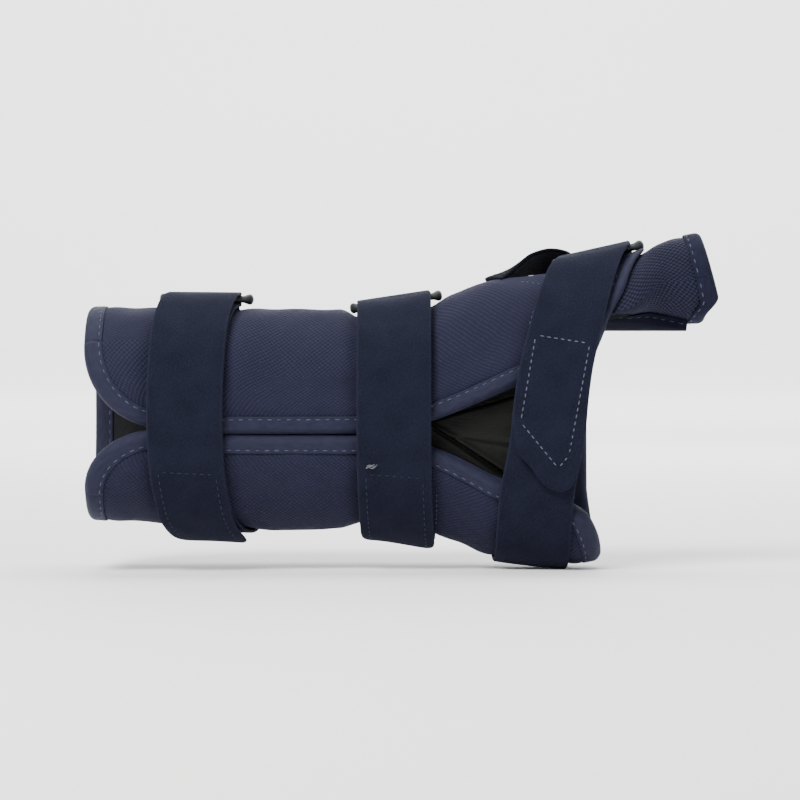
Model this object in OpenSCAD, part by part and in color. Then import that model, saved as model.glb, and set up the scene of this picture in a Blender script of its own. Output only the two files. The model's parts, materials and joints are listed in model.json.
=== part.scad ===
// Wrist and thumb splint for a right hand, closed as it is worn.
// +X points to the fingers, +Z to the thumb side, -Y out of the back of the hand.
// A place on the wrap is [x, turn, lift]: turn is the angle round the arm, 0 on the back of
// the hand, 90 on the thumb side and 180 on the palm side; lift is the height over the wrap.

/* [Wrap] */
// Where the proximal edge lies
prox_x = -111; // [-114:1:-108]
// Length of the two rounded lobes at the proximal edge
lobe_r = 27; // [14:1:30]
// Height of the radial lobe's round corner
radial_lobe_h = 31; // [20:1:34]
// Height of the ulnar lobe's round corner
ulnar_lobe_h = 23; // [18:1:26]
// Squareness of the arm section, 2 is an ellipse
squareness = 2.4; // [2.1:0.1:2.6]
// Radius of the bow that holds the wrist extended
bow_r = 700; // [600:50:1200]
// Thickness of the outer fabric
shell_t = 1.0; // [0.8:0.1:1.0]
// Depth of the whole laminate
laminate_t = 5.1; // [5:0.1:5.4]
// Width of the folded edge tape
tape_w = 6; // [4:0.5:7]
// Thickness of the edge tape
tape_t = 0.4; // [0.3:0.05:0.5]

/* [Straps] */
// Width of the three straps
strap_w = 27; // [25:0.5:27]
// Thickness of the strap fabric
strap_t = 1.2; // [1:0.1:1.3]
// Radius of the wire of a ring
wire_r = 1.25; // [1:0.05:1.3]
// Distance between the two bars of a ring
ring_reach = 9; // [8.5:0.5:10]
// Thickness of a hook patch
hook_t = 0.9; // [0.7:0.1:1]

/* [Stays] */
// Width of the palm stay
stay_w = 24; // [20:1:26]
// Thickness of the palm stay
stay_t = 1.6; // [1.2:0.1:1.8]
// Width of the thumb stay
thumb_stay_w = 9; // [7:1:10]
// Thickness of the thumb stay
thumb_stay_t = 0.8; // [0.6:0.1:0.8]

/* [Hidden] */

navy = [0.16, 0.17, 0.28];
tape_navy = [0.22, 0.23, 0.36];
strap_navy = [0.15, 0.18, 0.26];
black = [0.1, 0.1, 0.1];
foam_grey = [0.35, 0.35, 0.38];
metal = [0.75, 0.76, 0.78];
ring_black = [0.08, 0.09, 0.1];

// The arm's outline: [x, value] at the places where the wrap changes its taper.
TOP = [[-112, 41], [-60, 40.6], [-18, 40], [-14, 37.4], [14, 41.6], [20, 45.6], [36, 51],
    [56, 53], [62, 54], [86, 59.2], [98, 65], [112, 68.3]];
BOTTOM = [[-112, -36], [-60, -39.6], [-36, -41], [-18, -40], [-14, -38.4], [14, -42.6],
    [20, -44.2], [36, -50.3], [62, -52.8], [78, -51]];
DEPTH = [[-112, 31], [-60, 29.5], [14, 25.6], [62, 24.6], [78, 24]];
palm_y = 29;
bow_x = -25;

// The two edges of the opening on the back of the hand, as [x, z].
RADIAL_EDGE = [[-91, -1.6], [-60, -4], [3, -4], [14, 0.8], [44, 13.8], [70, 25]];
ULNAR_EDGE = [[-91, -3.4], [-60, -5.4], [3, -6.2], [14, -10.8], [38, -22.8], [62, -33]];

// Rows of the wrap's grid: a lobe zone, fixed places at every change of taper, the last row.
LOBE_ROWS = 3;
lobe_end = -80;
FIXED_X = [lobe_end, -60, -36, -18, -14, 3, 14, 20, 36, 56, 62];
ROWS = LOBE_ROWS + len(FIXED_X) + 1;
LOBE_STEPS = 5;
SIDE_STEPS = 9;
VOLAR_STEPS = 4;
volar_from = 150;
volar_to = 210;
COLS = 2 * (LOBE_STEPS + SIDE_STEPS) + VOLAR_STEPS;
radial_last = LOBE_STEPS + SIDE_STEPS;
volar_last = radial_last + VOLAR_STEPS;

// The inner layers: the lining's thickness, the clearance between layers, the lift of the
// foam's inner face, and the groove in the foam for the thumb stay.
lining_t = 0.8;
layer_gap = 0.1;
foam_low = laminate_t - lining_t - layer_gap;
groove_from = 18;
groove_turn = 18;
groove_t = 3.0;
thumb_t = 3.6;
tape_gap = 0.2;
tongue_from = -20;
tongue_lap = 10;
tongue_lift = laminate_t + 1.3;
tongue_t = 0.8;
TONGUE_STEPS = 8;

// The thumb sleeve: its low side, its half depth and its middle, each as [x, value].
THUMB_SIDES = 24;
WEB_STEPS = 5;
thumb_turn = 38;
web_reach = 15;
// The web gusset: where it starts, its two sides as angles and lifts, its thickness.
web_from = 80;
web_sewn = 212;
web_free = 288;
web_low = 0.4;
web_high = 3.8;
web_t = 1.2;
thumb_end_x = 115.3;
thumb_blend_from = 84;
thumb_blend = 16;
THUMB_ROWS = [86, 92, 98, 106];
thumb_end_slant = 3.8;
THUMB_LOW = [[64, 30], [80, 38.5], [93, 38.4], [107, 35.5], [120, 36.5]];
THUMB_DEPTH = [[64, 17.5], [86, 16], [98, 14], [120, 15]];
THUMB_Y = [[84, -4], [120, -3]];

// The band over the base of the thumb: its upper middle line, width and thickness.
BAND = [[33, 1.5, 52.6], [37, 4, 55], [42, 7.5, 58.4], [48, 11, 61.2], [55, 15, 62.6],
    [61, 18.5, 61.8], [65, 21.8, 58], [66.4, 23.6, 52], [65.8, 24.5, 45], [64.2, 24.7, 38]];
band_w = 12;
band_t = 1.6;

// The stays and the palm stay's pocket.
STAY_X = [24, 36, 56, 62, 74, 86, 98, 104];
thumb_stay_lift = -1.95;
stay_lift = 1.3;
stay_from = -103;
stay_to = 53;
pocket_from = -101;
pocket_to = 55;
pocket_t = 0.9;
pocket_flange = 6;
pocket_room = 0.4;

// Strap fittings.
strap_gap = 0.85;
turn_r = wire_r + 0.2;
bar_lift = strap_gap + strap_t + turn_r;
patch_lift = strap_gap + strap_t + 0.3;
// The free end comes down to the patch over this many degrees past the bar.
fold_from = 84;
fold_span = 34;
end_lift = patch_lift + hook_t + 0.15;
ring_play = 0.95;
cheek_t = 1.6;
cheek_r = 1.6;
tab_near = 120;
TURN_STEP = 22.5;
tab_wrap = 225;
PATCH_EDGE = [[0, 4]];
strap_from = -138;
strap_to = 84.5;
strap_step = 7.5;

// Each strap's middle line, as [turn, x].
FOREARM = [[-138, -61], [-90, -65], [-50, -72], [0, -75.3], [45, -74], [90, -69.6]];
WRIST = [[-138, 2], [-90, 1.5], [0, -0.2], [90, -0.2]];
HAND = [[-138, 48], [-90, 49.7], [-30, 51.3], [-3, 55.5], [13, 57.9], [32, 62], [70, 69.5],
    [90, 73.6], [140, 74]];
// How far each edge draws in towards a strap's tip, as [turn, inset].
ROUND_TIP = [[-88, 8], [-86.5, 4.5], [-84, 2], [-80, 0.6], [-76, 0]];
HAND_TIP_LEFT = [[-22, 20.5], [-20, 15], [-13, 8.5], [-9, 3.5], [-4, 1.2], [2, 0]];
HAND_TIP_RIGHT = [[-22, 4], [-21, 2.4], [-18, 1], [-10, 0.3], [0, 0]];
PATCH_TURNS = [for (turn = [-22 : -10 : -82]) turn];
HAND_PATCH_TURNS = [30, 20, 10, 0, -5, -10, -14];
HAND_PATCH_LEFT = [[-14, 17], [-10, 12.5], [-5, 7.5], [0, 3.4], [30, 3]];
HAND_PATCH_RIGHT = [[-14, 6.5], [-10, 4.4], [0, 3.7], [30, 4]];

function mix(a, b, f) = a + (b - a) * f;
function ease(f) = let (c = min(1, max(0, f))) c * c * (3 - 2 * c);
function unit(v) = v / norm(v);
function spow(a) = sign(a) * pow(abs(a), 2 / squareness);
function bow_y(x) = palm_y - bow_r + sqrt(bow_r * bow_r - pow(x - bow_x, 2));
function mid_z(x) = (lookup(x, TOP) + lookup(x, BOTTOM)) / 2;
function half_z(x) = (lookup(x, TOP) - lookup(x, BOTTOM)) / 2;
function mid_y(x) = bow_y(x) - lookup(x, DEPTH);

// A point over the wrap.
function skin(x, turn, lift) = [x,
    mid_y(x) - (lookup(x, DEPTH) + lift) * spow(cos(turn)),
    mid_z(x) + (half_z(x) + lift) * spow(sin(turn))];

// The turn at which the back of the wrap is at height z.
function turn_at(x, z) = let (k = max(-1, min(1, (z - mid_z(x)) / half_z(x))))
    asin(sign(k) * pow(abs(k), squareness / 2));

// Columns run from the radial edge over the thumb side and the palm to the ulnar edge.
function lobe_angle(col) = 90 * col / LOBE_STEPS;
function from_edge(col) = min(col, COLS - col);
function col_start(col) = from_edge(col) >= LOBE_STEPS ? prox_x
    : prox_x + lobe_r * (1 - sin(lobe_angle(from_edge(col))));
// The first columns spread over the lobe's height, and over rim_h where the lobe is past.
rim_h = 20;
function lobe_h(x, side) = mix(side > 0 ? radial_lobe_h : ulnar_lobe_h, rim_h,
    max(0, min(1, (x - lobe_end) / 40)));
function edge_turn(x, col, edge, side) =
    turn_at(x, lookup(x, edge) + side * lobe_h(x, side) * (1 - cos(lobe_angle(col))));
function col_turn(x, col) =
    col <= LOBE_STEPS ? edge_turn(x, col, RADIAL_EDGE, 1)
    : col < radial_last ? mix(edge_turn(x, LOBE_STEPS, RADIAL_EDGE, 1), volar_from,
        (col - LOBE_STEPS) / SIDE_STEPS)
    : col <= volar_last ? mix(volar_from, volar_to, (col - radial_last) / VOLAR_STEPS)
    : col < COLS - LOBE_STEPS ? mix(volar_to, 360 + edge_turn(x, LOBE_STEPS, ULNAR_EDGE, -1),
        (col - volar_last) / SIDE_STEPS)
    : 360 + edge_turn(x, COLS - col, ULNAR_EDGE, -1);

// The distal edge: slanted over the knuckles, cut back where the thumb sleeve joins.
thumb_x = 64;
DISTAL = [[0, 66], [2, 71], [3, 74], [4, thumb_x - 0.3], [13, thumb_x - 0.3], [14, 73],
    [16, 71], [18, 70], [22, 73], [27, 75], [30, 70], [COLS, 66]];
function row_x(row, col) =
    row < LOBE_ROWS ? mix(col_start(col), lobe_end, row / LOBE_ROWS)
    : row < ROWS - 1 ? FIXED_X[row - LOBE_ROWS]
    : max(lookup(col, DISTAL), 62.5);
function wrap_point(row, col, lift) = let (x = row_x(row, col)) skin(x, col_turn(x, col), lift);
function wrap_grid(cols, lift) = [for (row = [0 : ROWS - 1]) [for (col = cols)
    wrap_point(row, col, lift)]];

// A closed solid between two matching grids. With closed, the last column joins the first.
module slab(outer, inner, closed = false) {
    rows = len(outer);
    cols = len(outer[0]);
    far = rows * cols;
    last = closed ? cols - 1 : cols - 2;
    points = concat([for (r = outer) each r], [for (r = inner) each r]);
    function at(r, c) = r * cols + c % cols;
    skins = [for (r = [0 : rows - 2], c = [0 : last]) each [
        [at(r, c), at(r, c + 1), at(r + 1, c + 1)],
        [at(r, c), at(r + 1, c + 1), at(r + 1, c)],
        [far + at(r, c), far + at(r + 1, c + 1), far + at(r, c + 1)],
        [far + at(r, c), far + at(r + 1, c), far + at(r + 1, c + 1)]]];
    ends = [for (c = [0 : last]) each [
        [at(0, c), far + at(0, c), far + at(0, c + 1)],
        [at(0, c), far + at(0, c + 1), at(0, c + 1)],
        [at(rows - 1, c), far + at(rows - 1, c + 1), far + at(rows - 1, c)],
        [at(rows - 1, c), at(rows - 1, c + 1), far + at(rows - 1, c + 1)]]];
    sides = closed ? [] : [for (r = [0 : rows - 2]) each [
        [at(r, 0), far + at(r + 1, 0), far + at(r, 0)],
        [at(r, 0), at(r + 1, 0), far + at(r + 1, 0)],
        [at(r, cols - 1), far + at(r, cols - 1), far + at(r + 1, cols - 1)],
        [at(r, cols - 1), far + at(r + 1, cols - 1), at(r + 1, cols - 1)]]];
    polyhedron(points, concat(skins, ends, sides), convexity = 8);
}

module wrap_layer(first, last, top_lift, low_lift) {
    slab(wrap_grid([first : last], top_lift), wrap_grid([first : last], low_lift));
}

// ---- the wrap's layers ----
module radial_panel() { color(navy) wrap_layer(0, radial_last, 0, -shell_t); }
module volar_panel() { color(navy) wrap_layer(radial_last, volar_last, 0, -shell_t); }
module ulnar_panel() { color(navy) wrap_layer(volar_last, COLS, 0, -shell_t); }

module foam_core() {
    // The foam is thinned along the thumb side, where the thumb stay lies.
    function foam_top(row, col) = let (x = row_x(row, col))
        x > groove_from && abs(col_turn(x, col) - 90) < groove_turn ? -groove_t : -shell_t - layer_gap;
    color(foam_grey) slab(
        [for (row = [0 : ROWS - 1]) [for (col = [0 : COLS])
            wrap_point(row, col, foam_top(row, col))]],
        wrap_grid([0 : COLS], -foam_low));
}
module inner_lining() { color(black) wrap_layer(0, COLS, -foam_low - layer_gap, -laminate_t); }

// The satin tongue under the opening on the back of the hand.
module dorsal_tongue() {
    function tongue(lift) = [for (x = [for (v = FIXED_X) if (v > tongue_from) v])
        let (low = turn_at(x, lookup(x, ULNAR_EDGE) - tongue_lap),
            high = turn_at(x, lookup(x, RADIAL_EDGE) + tongue_lap))
        [for (k = [0 : TONGUE_STEPS]) skin(x, mix(low, high, k / TONGUE_STEPS), lift)]];
    color(black) slab(tongue(-tongue_lift), tongue(-tongue_lift - tongue_t));
}

// ---- edge tapes, folded round the laminate ----
// The folded section, as [distance inward from the edge, lift].
function fold_out(low) = [[tape_w, tape_gap + tape_t], [-tape_gap - tape_t, tape_gap + tape_t],
    [-tape_gap - tape_t, -low - tape_gap - tape_t], [tape_w, -low - tape_gap - tape_t]];
function fold_in(low) = [[tape_w, tape_gap], [-tape_gap, tape_gap], [-tape_gap, -low - tape_gap],
    [tape_w, -low - tape_gap]];
// A point by the opening's edge or on a lobe, side 1 on the radial flap and -1 on the ulnar.
function edge_point(x, a, edge, side, s) = let (
    height = lobe_h(x, side),
    inward = unit([height * sin(a), lobe_r * cos(a)]),
    px = x + s[0] * inward[0],
    pz = lookup(x, edge) + side * (height * (1 - cos(a)) + s[0] * inward[1]))
    skin(px, turn_at(px, pz), s[1]);
function edge_path(edge, side, fold) = concat(
    [for (row = [ROWS - 1 : -1 : 1]) [for (s = fold) edge_point(row_x(row, 0), 0, edge, side, s)]],
    [for (col = [0 : LOBE_STEPS]) [for (s = fold)
        edge_point(col_start(col), lobe_angle(col), edge, side, s)]]);
function reverse(list) = [for (k = [len(list) - 1 : -1 : 0]) list[k]];

module radial_edge_tape() {
    color(tape_navy) slab(edge_path(RADIAL_EDGE, 1, fold_out(laminate_t)),
        edge_path(RADIAL_EDGE, 1, fold_in(laminate_t)));
}
module ulnar_edge_tape() {
    color(tape_navy) slab(reverse(edge_path(ULNAR_EDGE, -1, fold_out(laminate_t))),
        reverse(edge_path(ULNAR_EDGE, -1, fold_in(laminate_t))));
}
module proximal_edge_tape() {
    function path(fold) = [for (col = [LOBE_STEPS : COLS - LOBE_STEPS]) [for (s = fold)
        skin(prox_x + s[0], col_turn(prox_x, col), s[1])]];
    color(tape_navy) slab(path(fold_out(laminate_t)), path(fold_in(laminate_t)));
}
// The palm edge, taken backwards round the arm so that the tape faces outward.
module palm_edge_tape() {
    function path(fold) = [for (col = [COLS - 3 : -1 : radial_last]) [for (s = fold)
        let (x = row_x(ROWS - 1, col)) skin(x - s[0], col_turn(x, col), s[1])]];
    color(tape_navy) slab(path(fold_out(laminate_t)), path(fold_in(laminate_t)));
}

// ---- thumb sleeve ----
function thumb_side_z(x) = mid_z(x) + half_z(x) * spow(sin(thumb_turn));
function thumb_oval(x, a, lift) = let (low = lookup(x, THUMB_LOW), top = lookup(x, TOP)) [x,
    lookup(x, THUMB_Y) - (lookup(x, THUMB_DEPTH) + lift) * cos(a),
    (top + low) / 2 + ((top - low) / 2 + lift) * sin(a)];
function thumb_root(x, a, lift) = a <= 180
    ? skin(x, thumb_turn + a * (180 - 2 * thumb_turn) / 180, lift)
    : [x, mid_y(x) - (lookup(x, DEPTH) * spow(cos(thumb_turn)) + lift) * cos(a),
        thumb_side_z(x) + (thumb_side_z(x) - lookup(x, THUMB_LOW) + lift) * sin(a)];
function thumb_at(x, a, lift) = mix(thumb_root(x, a, lift), thumb_oval(x, a, lift),
    ease((x - thumb_blend_from) / thumb_blend));
function thumb_start(a) = thumb_x + web_reach * max(0, -sin(a));
function thumb_end(a) = thumb_end_x - thumb_end_slant * sin(a);
function thumb_rows(a) = concat([thumb_start(a), (thumb_start(a) + THUMB_ROWS[0]) / 2], THUMB_ROWS,
    [thumb_end(a)]);
function thumb_grid(lift) = [for (row = [0 : len(THUMB_ROWS) + 2]) [for (k = [0 : THUMB_SIDES - 1])
    let (a = 360 * k / THUMB_SIDES) thumb_at(thumb_rows(a)[row], a, lift)]];

module thumb_sleeve() {
    color(navy) slab(thumb_grid(0), thumb_grid(-shell_t), closed = true);
}
module thumb_lining() {
    color(black) slab(thumb_grid(-thumb_t + lining_t), thumb_grid(-thumb_t), closed = true);
}
module thumb_end_tape() {
    function ring(fold) = [for (s = fold) [for (k = [0 : THUMB_SIDES - 1])
        let (a = 360 * k / THUMB_SIDES) thumb_at(thumb_end(a) - s[0], a, s[1])]];
    color(tape_navy) slab(ring(fold_out(thumb_t)), ring(fold_in(thumb_t)), closed = true);
}
// The second layer under the thumb, sewn on the palm side and free at its front edge.
module thumb_web_gusset() {
    function flap(extra) = [for (x = concat([web_from], THUMB_ROWS)) [for (k = [0 : WEB_STEPS])
        thumb_at(x, mix(web_sewn, web_free, k / WEB_STEPS),
            mix(web_low, web_high, k / WEB_STEPS) + extra)]];
    color(tape_navy) slab(flap(web_t), flap(0));
}
// A webbing band that arches over the base of the thumb.
module thumb_anchor_band() {
    function along(k) = unit(BAND[min(k + 1, len(BAND) - 1)] - BAND[max(k - 1, 0)]);
    across = unit([-1, 2, 0]);
    function up(k) = unit(cross(along(k), across));
    function face(lift) = [for (k = [0 : len(BAND) - 1]) [for (side = [-0.5, 0.5])
        BAND[k] + across * side * band_w + up(k) * lift]];
    color(strap_navy) slab(face(0), face(-band_t));
}

// ---- stays ----
module thumb_stay() {
    function strip(lift) = [for (x = STAY_X) [for (side = [-0.5, 0.5])
        let (p = x < thumb_x ? skin(x, 90, lift) : thumb_at(x, 90, lift))
        p + [0, side * thumb_stay_w, 0]]];
    color(metal) slab(strip(thumb_stay_lift), strip(thumb_stay_lift - thumb_stay_t));
}
module volar_stay() {
    end_r = stay_w / 2;
    // Stations along the stay as [x, half width], with half-round ends.
    ends = [for (a = [5 : 17 : 90]) [end_r * (1 - cos(a)), end_r * sin(a)]];
    stations = concat([for (e = ends) [stay_from + e[0], e[1]]],
        [for (v = FIXED_X) if (v < stay_to - end_r) [v, end_r]],
        [for (e = reverse(ends)) [stay_to - e[0], e[1]]]);
    function face(lift) = [for (s = stations) [for (side = [1, -1])
        [s[0], bow_y(s[0]) + lift, side * s[1]]]];
    color(metal) slab(face(stay_lift + stay_t), face(stay_lift));
}
// The pocket's section as [z, lift, flat]: flat 1 is measured from the middle of the palm side.
module volar_stay_pocket() {
    wall = stay_w / 2 + pocket_room;
    outer = wall + pocket_t;
    rim = wall + pocket_flange;
    high = stay_lift + stay_t + pocket_room;
    low = 0.3;
    outside = [[rim, low + pocket_t, 0], [outer, low + pocket_t, 0], [outer, high + pocket_t, 1],
        [-outer, high + pocket_t, 1], [-outer, low + pocket_t, 0], [-rim, low + pocket_t, 0]];
    inside = [[rim, low, 0], [wall, low, 0], [wall, high, 1], [-wall, high, 1],
        [-wall, low, 0], [-rim, low, 0]];
    function face(section) = [for (x = concat([pocket_from], [for (v = FIXED_X)
        if (v < pocket_to) v], [pocket_to])) [for (s = section)
            s[2] == 1 ? [x, bow_y(x) + s[1], s[0]] : skin(x, 180 - turn_at(x, s[0]), s[1])]];
    color(navy) slab(face(outside), face(inside));
}

// ---- straps ----
// The two ends of a ring's outer bar, over the strap's edges.
function bar_end(route, side) = skin(lookup(90, route) + side * strap_w / 2, 90, bar_lift);
function bar_dir(route) = unit(bar_end(route, 1) - bar_end(route, -1));
function bar_out(route) = unit(cross([0, 0, 1], bar_dir(route)));
function bar_up(route) = cross(bar_dir(route), bar_out(route));
// A point round a bar: a is 0 under it, 90 on its palm side and 180 over it.
function round_bar(route, side, shift, a, r) = bar_end(route, side) + bar_out(route) * shift
    + (bar_out(route) * sin(a) - bar_up(route) * cos(a)) * r;
function strap_point(route, side, turn, lift, inset = 0) =
    skin(lookup(turn, route) + side * (strap_w / 2 - inset), turn, lift);

module strap(route) {
    function face(lift) = [for (turn = [strap_from : strap_step : strap_to]) [for (side = [1, -1])
        strap_point(route, side, turn, lift)]];
    color(strap_navy) slab(face(strap_gap + strap_t), face(strap_gap));
}
// The strap's free end: round the ring's bar, then back over the strap to its tip.
module strap_end(route, tip_turn, left_tip, right_tip) {
    turns = concat([for (turn = [fold_from : -7 : tip_turn + 15]) turn],
        [for (f = [0 : 0.2 : 1]) tip_turn + 14 * pow(1 - f, 1.6)]);
    function fold_lift(turn) = mix(bar_lift + turn_r, end_lift, ease((fold_from - turn) / fold_span));
    function face(extra) = concat(
        [for (a = [-2 * TURN_STEP : TURN_STEP : 180]) [for (side = [-1, 1])
            round_bar(route, side, 0, a, turn_r + extra)]],
        [for (turn = turns) [for (side = [-1, 1])
            strap_point(route, side, turn, fold_lift(turn) + extra,
                lookup(turn, side < 0 ? left_tip : right_tip))]]);
    color(strap_navy) slab(face(strap_t), face(0));
}
module hook_patch(route, turns, left, right) {
    function face(lift) = [for (turn = turns) [for (side = [-1, 1])
        strap_point(route, side, turn, lift, lookup(turn, side < 0 ? left : right))]];
    color(black) slab(face(patch_lift + hook_t), face(patch_lift));
}
module ring(route) {
    dir = bar_dir(route);
    half_in = strap_w / 2 + ring_play;
    color(ring_black)
        translate((bar_end(route, 1) + bar_end(route, -1)) / 2)
            rotate([0, -asin(dir[2]), atan2(dir[1], dir[0])]) {
                for (y = [0, ring_reach]) translate([-half_in, y, 0]) rotate([0, 90, 0])
                    cylinder(h = 2 * half_in, r = wire_r, $fn = 48);
                for (x = [-half_in - cheek_t, half_in]) translate([x, 0, 0])
                    rotate([90, 0, 90]) linear_extrude(cheek_t, $fn = 48) {
                        translate([0, -cheek_r]) square([ring_reach, 2 * cheek_r]);
                        for (y = [0, ring_reach]) translate([y, 0]) circle(cheek_r);
                    }
            }
}
// The webbing loop that holds a ring's inner bar, sewn down on its own lower layer.
module ring_tab(route, last_turn) {
    turns = [for (turn = [last_turn : -6 : tab_near]) turn];
    function lay(list, lift) = [for (turn = list) [for (side = [1, -1])
        strap_point(route, side, turn, lift, 1)]];
    function wrap(r) = [for (a = [0 : -TURN_STEP : -tab_wrap]) [for (side = [1, -1])
        round_bar(route, side, ring_reach, a, r) - bar_dir(route) * side]];
    color(strap_navy) slab(
        concat(lay(turns, strap_gap), wrap(turn_r + strap_t),
            lay(reverse(turns), strap_gap + 2 * strap_t + layer_gap)),
        concat(lay(turns, strap_gap + strap_t), wrap(turn_r),
            lay(reverse(turns), strap_gap + strap_t + layer_gap)));
}

module forearm_strap() { strap(FOREARM); }
module forearm_ring_tab() { ring_tab(FOREARM, 138); }
module forearm_ring() { ring(FOREARM); }
module forearm_strap_end() { strap_end(FOREARM, -88, ROUND_TIP, ROUND_TIP); }
module forearm_hook_patch() { hook_patch(FOREARM, PATCH_TURNS, PATCH_EDGE, PATCH_EDGE); }
module wrist_strap() { strap(WRIST); }
module wrist_ring_tab() { ring_tab(WRIST, 138); }
module wrist_ring() { ring(WRIST); }
module wrist_strap_end() { strap_end(WRIST, -88, ROUND_TIP, ROUND_TIP); }
module wrist_hook_patch() { hook_patch(WRIST, PATCH_TURNS, PATCH_EDGE, PATCH_EDGE); }
module hand_strap() { strap(HAND); }
module hand_ring_tab() { ring_tab(HAND, 132); }
module hand_ring() { ring(HAND); }
module hand_strap_end() { strap_end(HAND, -22, HAND_TIP_LEFT, HAND_TIP_RIGHT); }
module hand_hook_patch() {
    hook_patch(HAND, HAND_PATCH_TURNS, HAND_PATCH_LEFT, HAND_PATCH_RIGHT);
}

radial_panel();
ulnar_panel();
volar_panel();
foam_core();
inner_lining();
dorsal_tongue();
radial_edge_tape();
ulnar_edge_tape();
proximal_edge_tape();
palm_edge_tape();
thumb_sleeve();
thumb_lining();
thumb_end_tape();
thumb_web_gusset();
thumb_anchor_band();
thumb_stay();
volar_stay();
volar_stay_pocket();
forearm_strap();
forearm_ring_tab();
forearm_ring();
forearm_strap_end();
forearm_hook_patch();
wrist_strap();
wrist_ring_tab();
wrist_ring();
wrist_strap_end();
wrist_hook_patch();
hand_strap();
hand_ring_tab();
hand_ring();
hand_strap_end();
hand_hook_patch();
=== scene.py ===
"""A wrist and thumb splint for the right hand, closed as it is worn.

The CAD frame gives the bodies and the box; the fabric pieces here follow the same outline as the
CAD solids that they replace. Lengths in this file are in millimetres until a mesh is made.
"""
import json
import math

import bmesh
import bpy
import numpy as np
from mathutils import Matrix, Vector


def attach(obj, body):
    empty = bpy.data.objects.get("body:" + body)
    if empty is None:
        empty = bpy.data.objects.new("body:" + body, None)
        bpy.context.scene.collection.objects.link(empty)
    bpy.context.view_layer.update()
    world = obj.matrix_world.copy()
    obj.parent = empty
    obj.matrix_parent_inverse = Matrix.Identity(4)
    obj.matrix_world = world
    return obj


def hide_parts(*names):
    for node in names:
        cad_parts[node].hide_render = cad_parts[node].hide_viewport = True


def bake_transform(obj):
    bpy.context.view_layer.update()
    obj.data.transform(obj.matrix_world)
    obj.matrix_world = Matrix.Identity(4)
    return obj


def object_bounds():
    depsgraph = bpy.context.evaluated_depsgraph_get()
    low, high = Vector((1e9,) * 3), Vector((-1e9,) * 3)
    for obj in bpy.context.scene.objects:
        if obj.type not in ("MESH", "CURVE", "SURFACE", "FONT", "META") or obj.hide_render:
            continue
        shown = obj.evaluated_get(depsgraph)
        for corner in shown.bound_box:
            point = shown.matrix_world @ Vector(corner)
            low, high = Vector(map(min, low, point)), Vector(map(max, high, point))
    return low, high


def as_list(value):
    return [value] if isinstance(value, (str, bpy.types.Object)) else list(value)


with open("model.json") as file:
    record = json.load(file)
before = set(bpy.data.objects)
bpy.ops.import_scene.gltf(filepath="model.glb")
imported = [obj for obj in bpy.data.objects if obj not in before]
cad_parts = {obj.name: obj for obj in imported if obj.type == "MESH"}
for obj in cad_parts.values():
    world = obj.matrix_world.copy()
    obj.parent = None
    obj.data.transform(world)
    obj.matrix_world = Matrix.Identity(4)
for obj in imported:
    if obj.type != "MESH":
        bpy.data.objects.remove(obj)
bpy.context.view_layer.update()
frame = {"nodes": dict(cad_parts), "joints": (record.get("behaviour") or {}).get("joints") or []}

MM = 0.001
ROOT = "root"

# ---------------------------------------------------------------- the splint's outline
# Each outline is a list of (x, value), drawn as a smooth curve through its points.
TOP = [(-112, 41), (-60, 40.6), (-20, 40), (-13, 37.7), (13, 41.4), (21, 45.7), (36, 51),
       (62, 54), (86, 59.2), (98, 65), (112, 68.3)]
BOTTOM = [(-112, -36), (-60, -39.6), (-36, -41), (-20, -40), (-13, -38.5), (13, -42.4),
          (21, -44.4), (36, -50.3), (62, -52.8), (78, -51)]
DEPTH = [(-112, 31), (-60, 29.5), (14, 25.6), (62, 24.6), (78, 24)]
RADIAL_EDGE = [(-91, -1.6), (-60, -4), (-2, -4.1), (14, 0.8), (44, 13.8), (70, 25)]
ULNAR_EDGE = [(-91, -3.4), (-60, -5.4), (-2, -6.1), (14, -10.8), (38, -22.8), (62, -33)]
SQUARENESS = 2.4
PALM_Y, BOW_R, BOW_X = 29, 700, -25
PROX_X, LOBE_R = -111, 27
LOBE_H, RIM_H, LOBE_END = {1: 31, -1: 23}, 20, -80
LAMINATE_T = 5.1
FOAM_LOW = 4.2

# The straps: middle line as (turn, x), and the draw-in of each edge towards the tip.
STRAP_W, STRAP_T, STRAP_GAP = 27, 1.2, 0.85
WIRE_R, RING_REACH = 1.25, 9
TURN_R = WIRE_R + 0.2
BAR_LIFT = STRAP_GAP + STRAP_T + TURN_R
PATCH_LIFT = STRAP_GAP + STRAP_T + 0.3
HOOK_T = 0.9
END_LIFT = PATCH_LIFT + HOOK_T + 0.15
STRAP_FROM = -138
ROUTES = {
    "forearm": [(-138, -61), (-90, -65), (-50, -72), (0, -75.3), (45, -74), (90, -69.6)],
    "wrist": [(-138, 2), (-90, 1.5), (0, -0.2), (90, -0.2)],
    "hand": [(-138, 48), (-90, 49.7), (-30, 51.3), (-3, 55.5), (13, 57.9), (32, 62),
             (70, 69.5), (90, 73.6), (140, 74)],
}
ROUND_TIP = [(-88, 10), (-87.3, 7.2), (-85.8, 4.6), (-83, 2.4), (-79, 0.9), (-74, 0.2), (-70, 0)]
TIPS = {
    "forearm": (-88, ROUND_TIP, ROUND_TIP),
    "wrist": (-88, ROUND_TIP, ROUND_TIP),
    "hand": (-22.4, [(-22.4, 21), (-22, 19), (-20, 15), (-13, 8.5), (-9, 3.5), (-4, 1.2), (2, 0)],
             [(-22.4, 5), (-22, 3.4), (-21, 2), (-18, 0.8), (-10, 0.3), (0, 0)]),
}
TAB_LAST = {"forearm": 138, "wrist": 138, "hand": 132}

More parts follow.
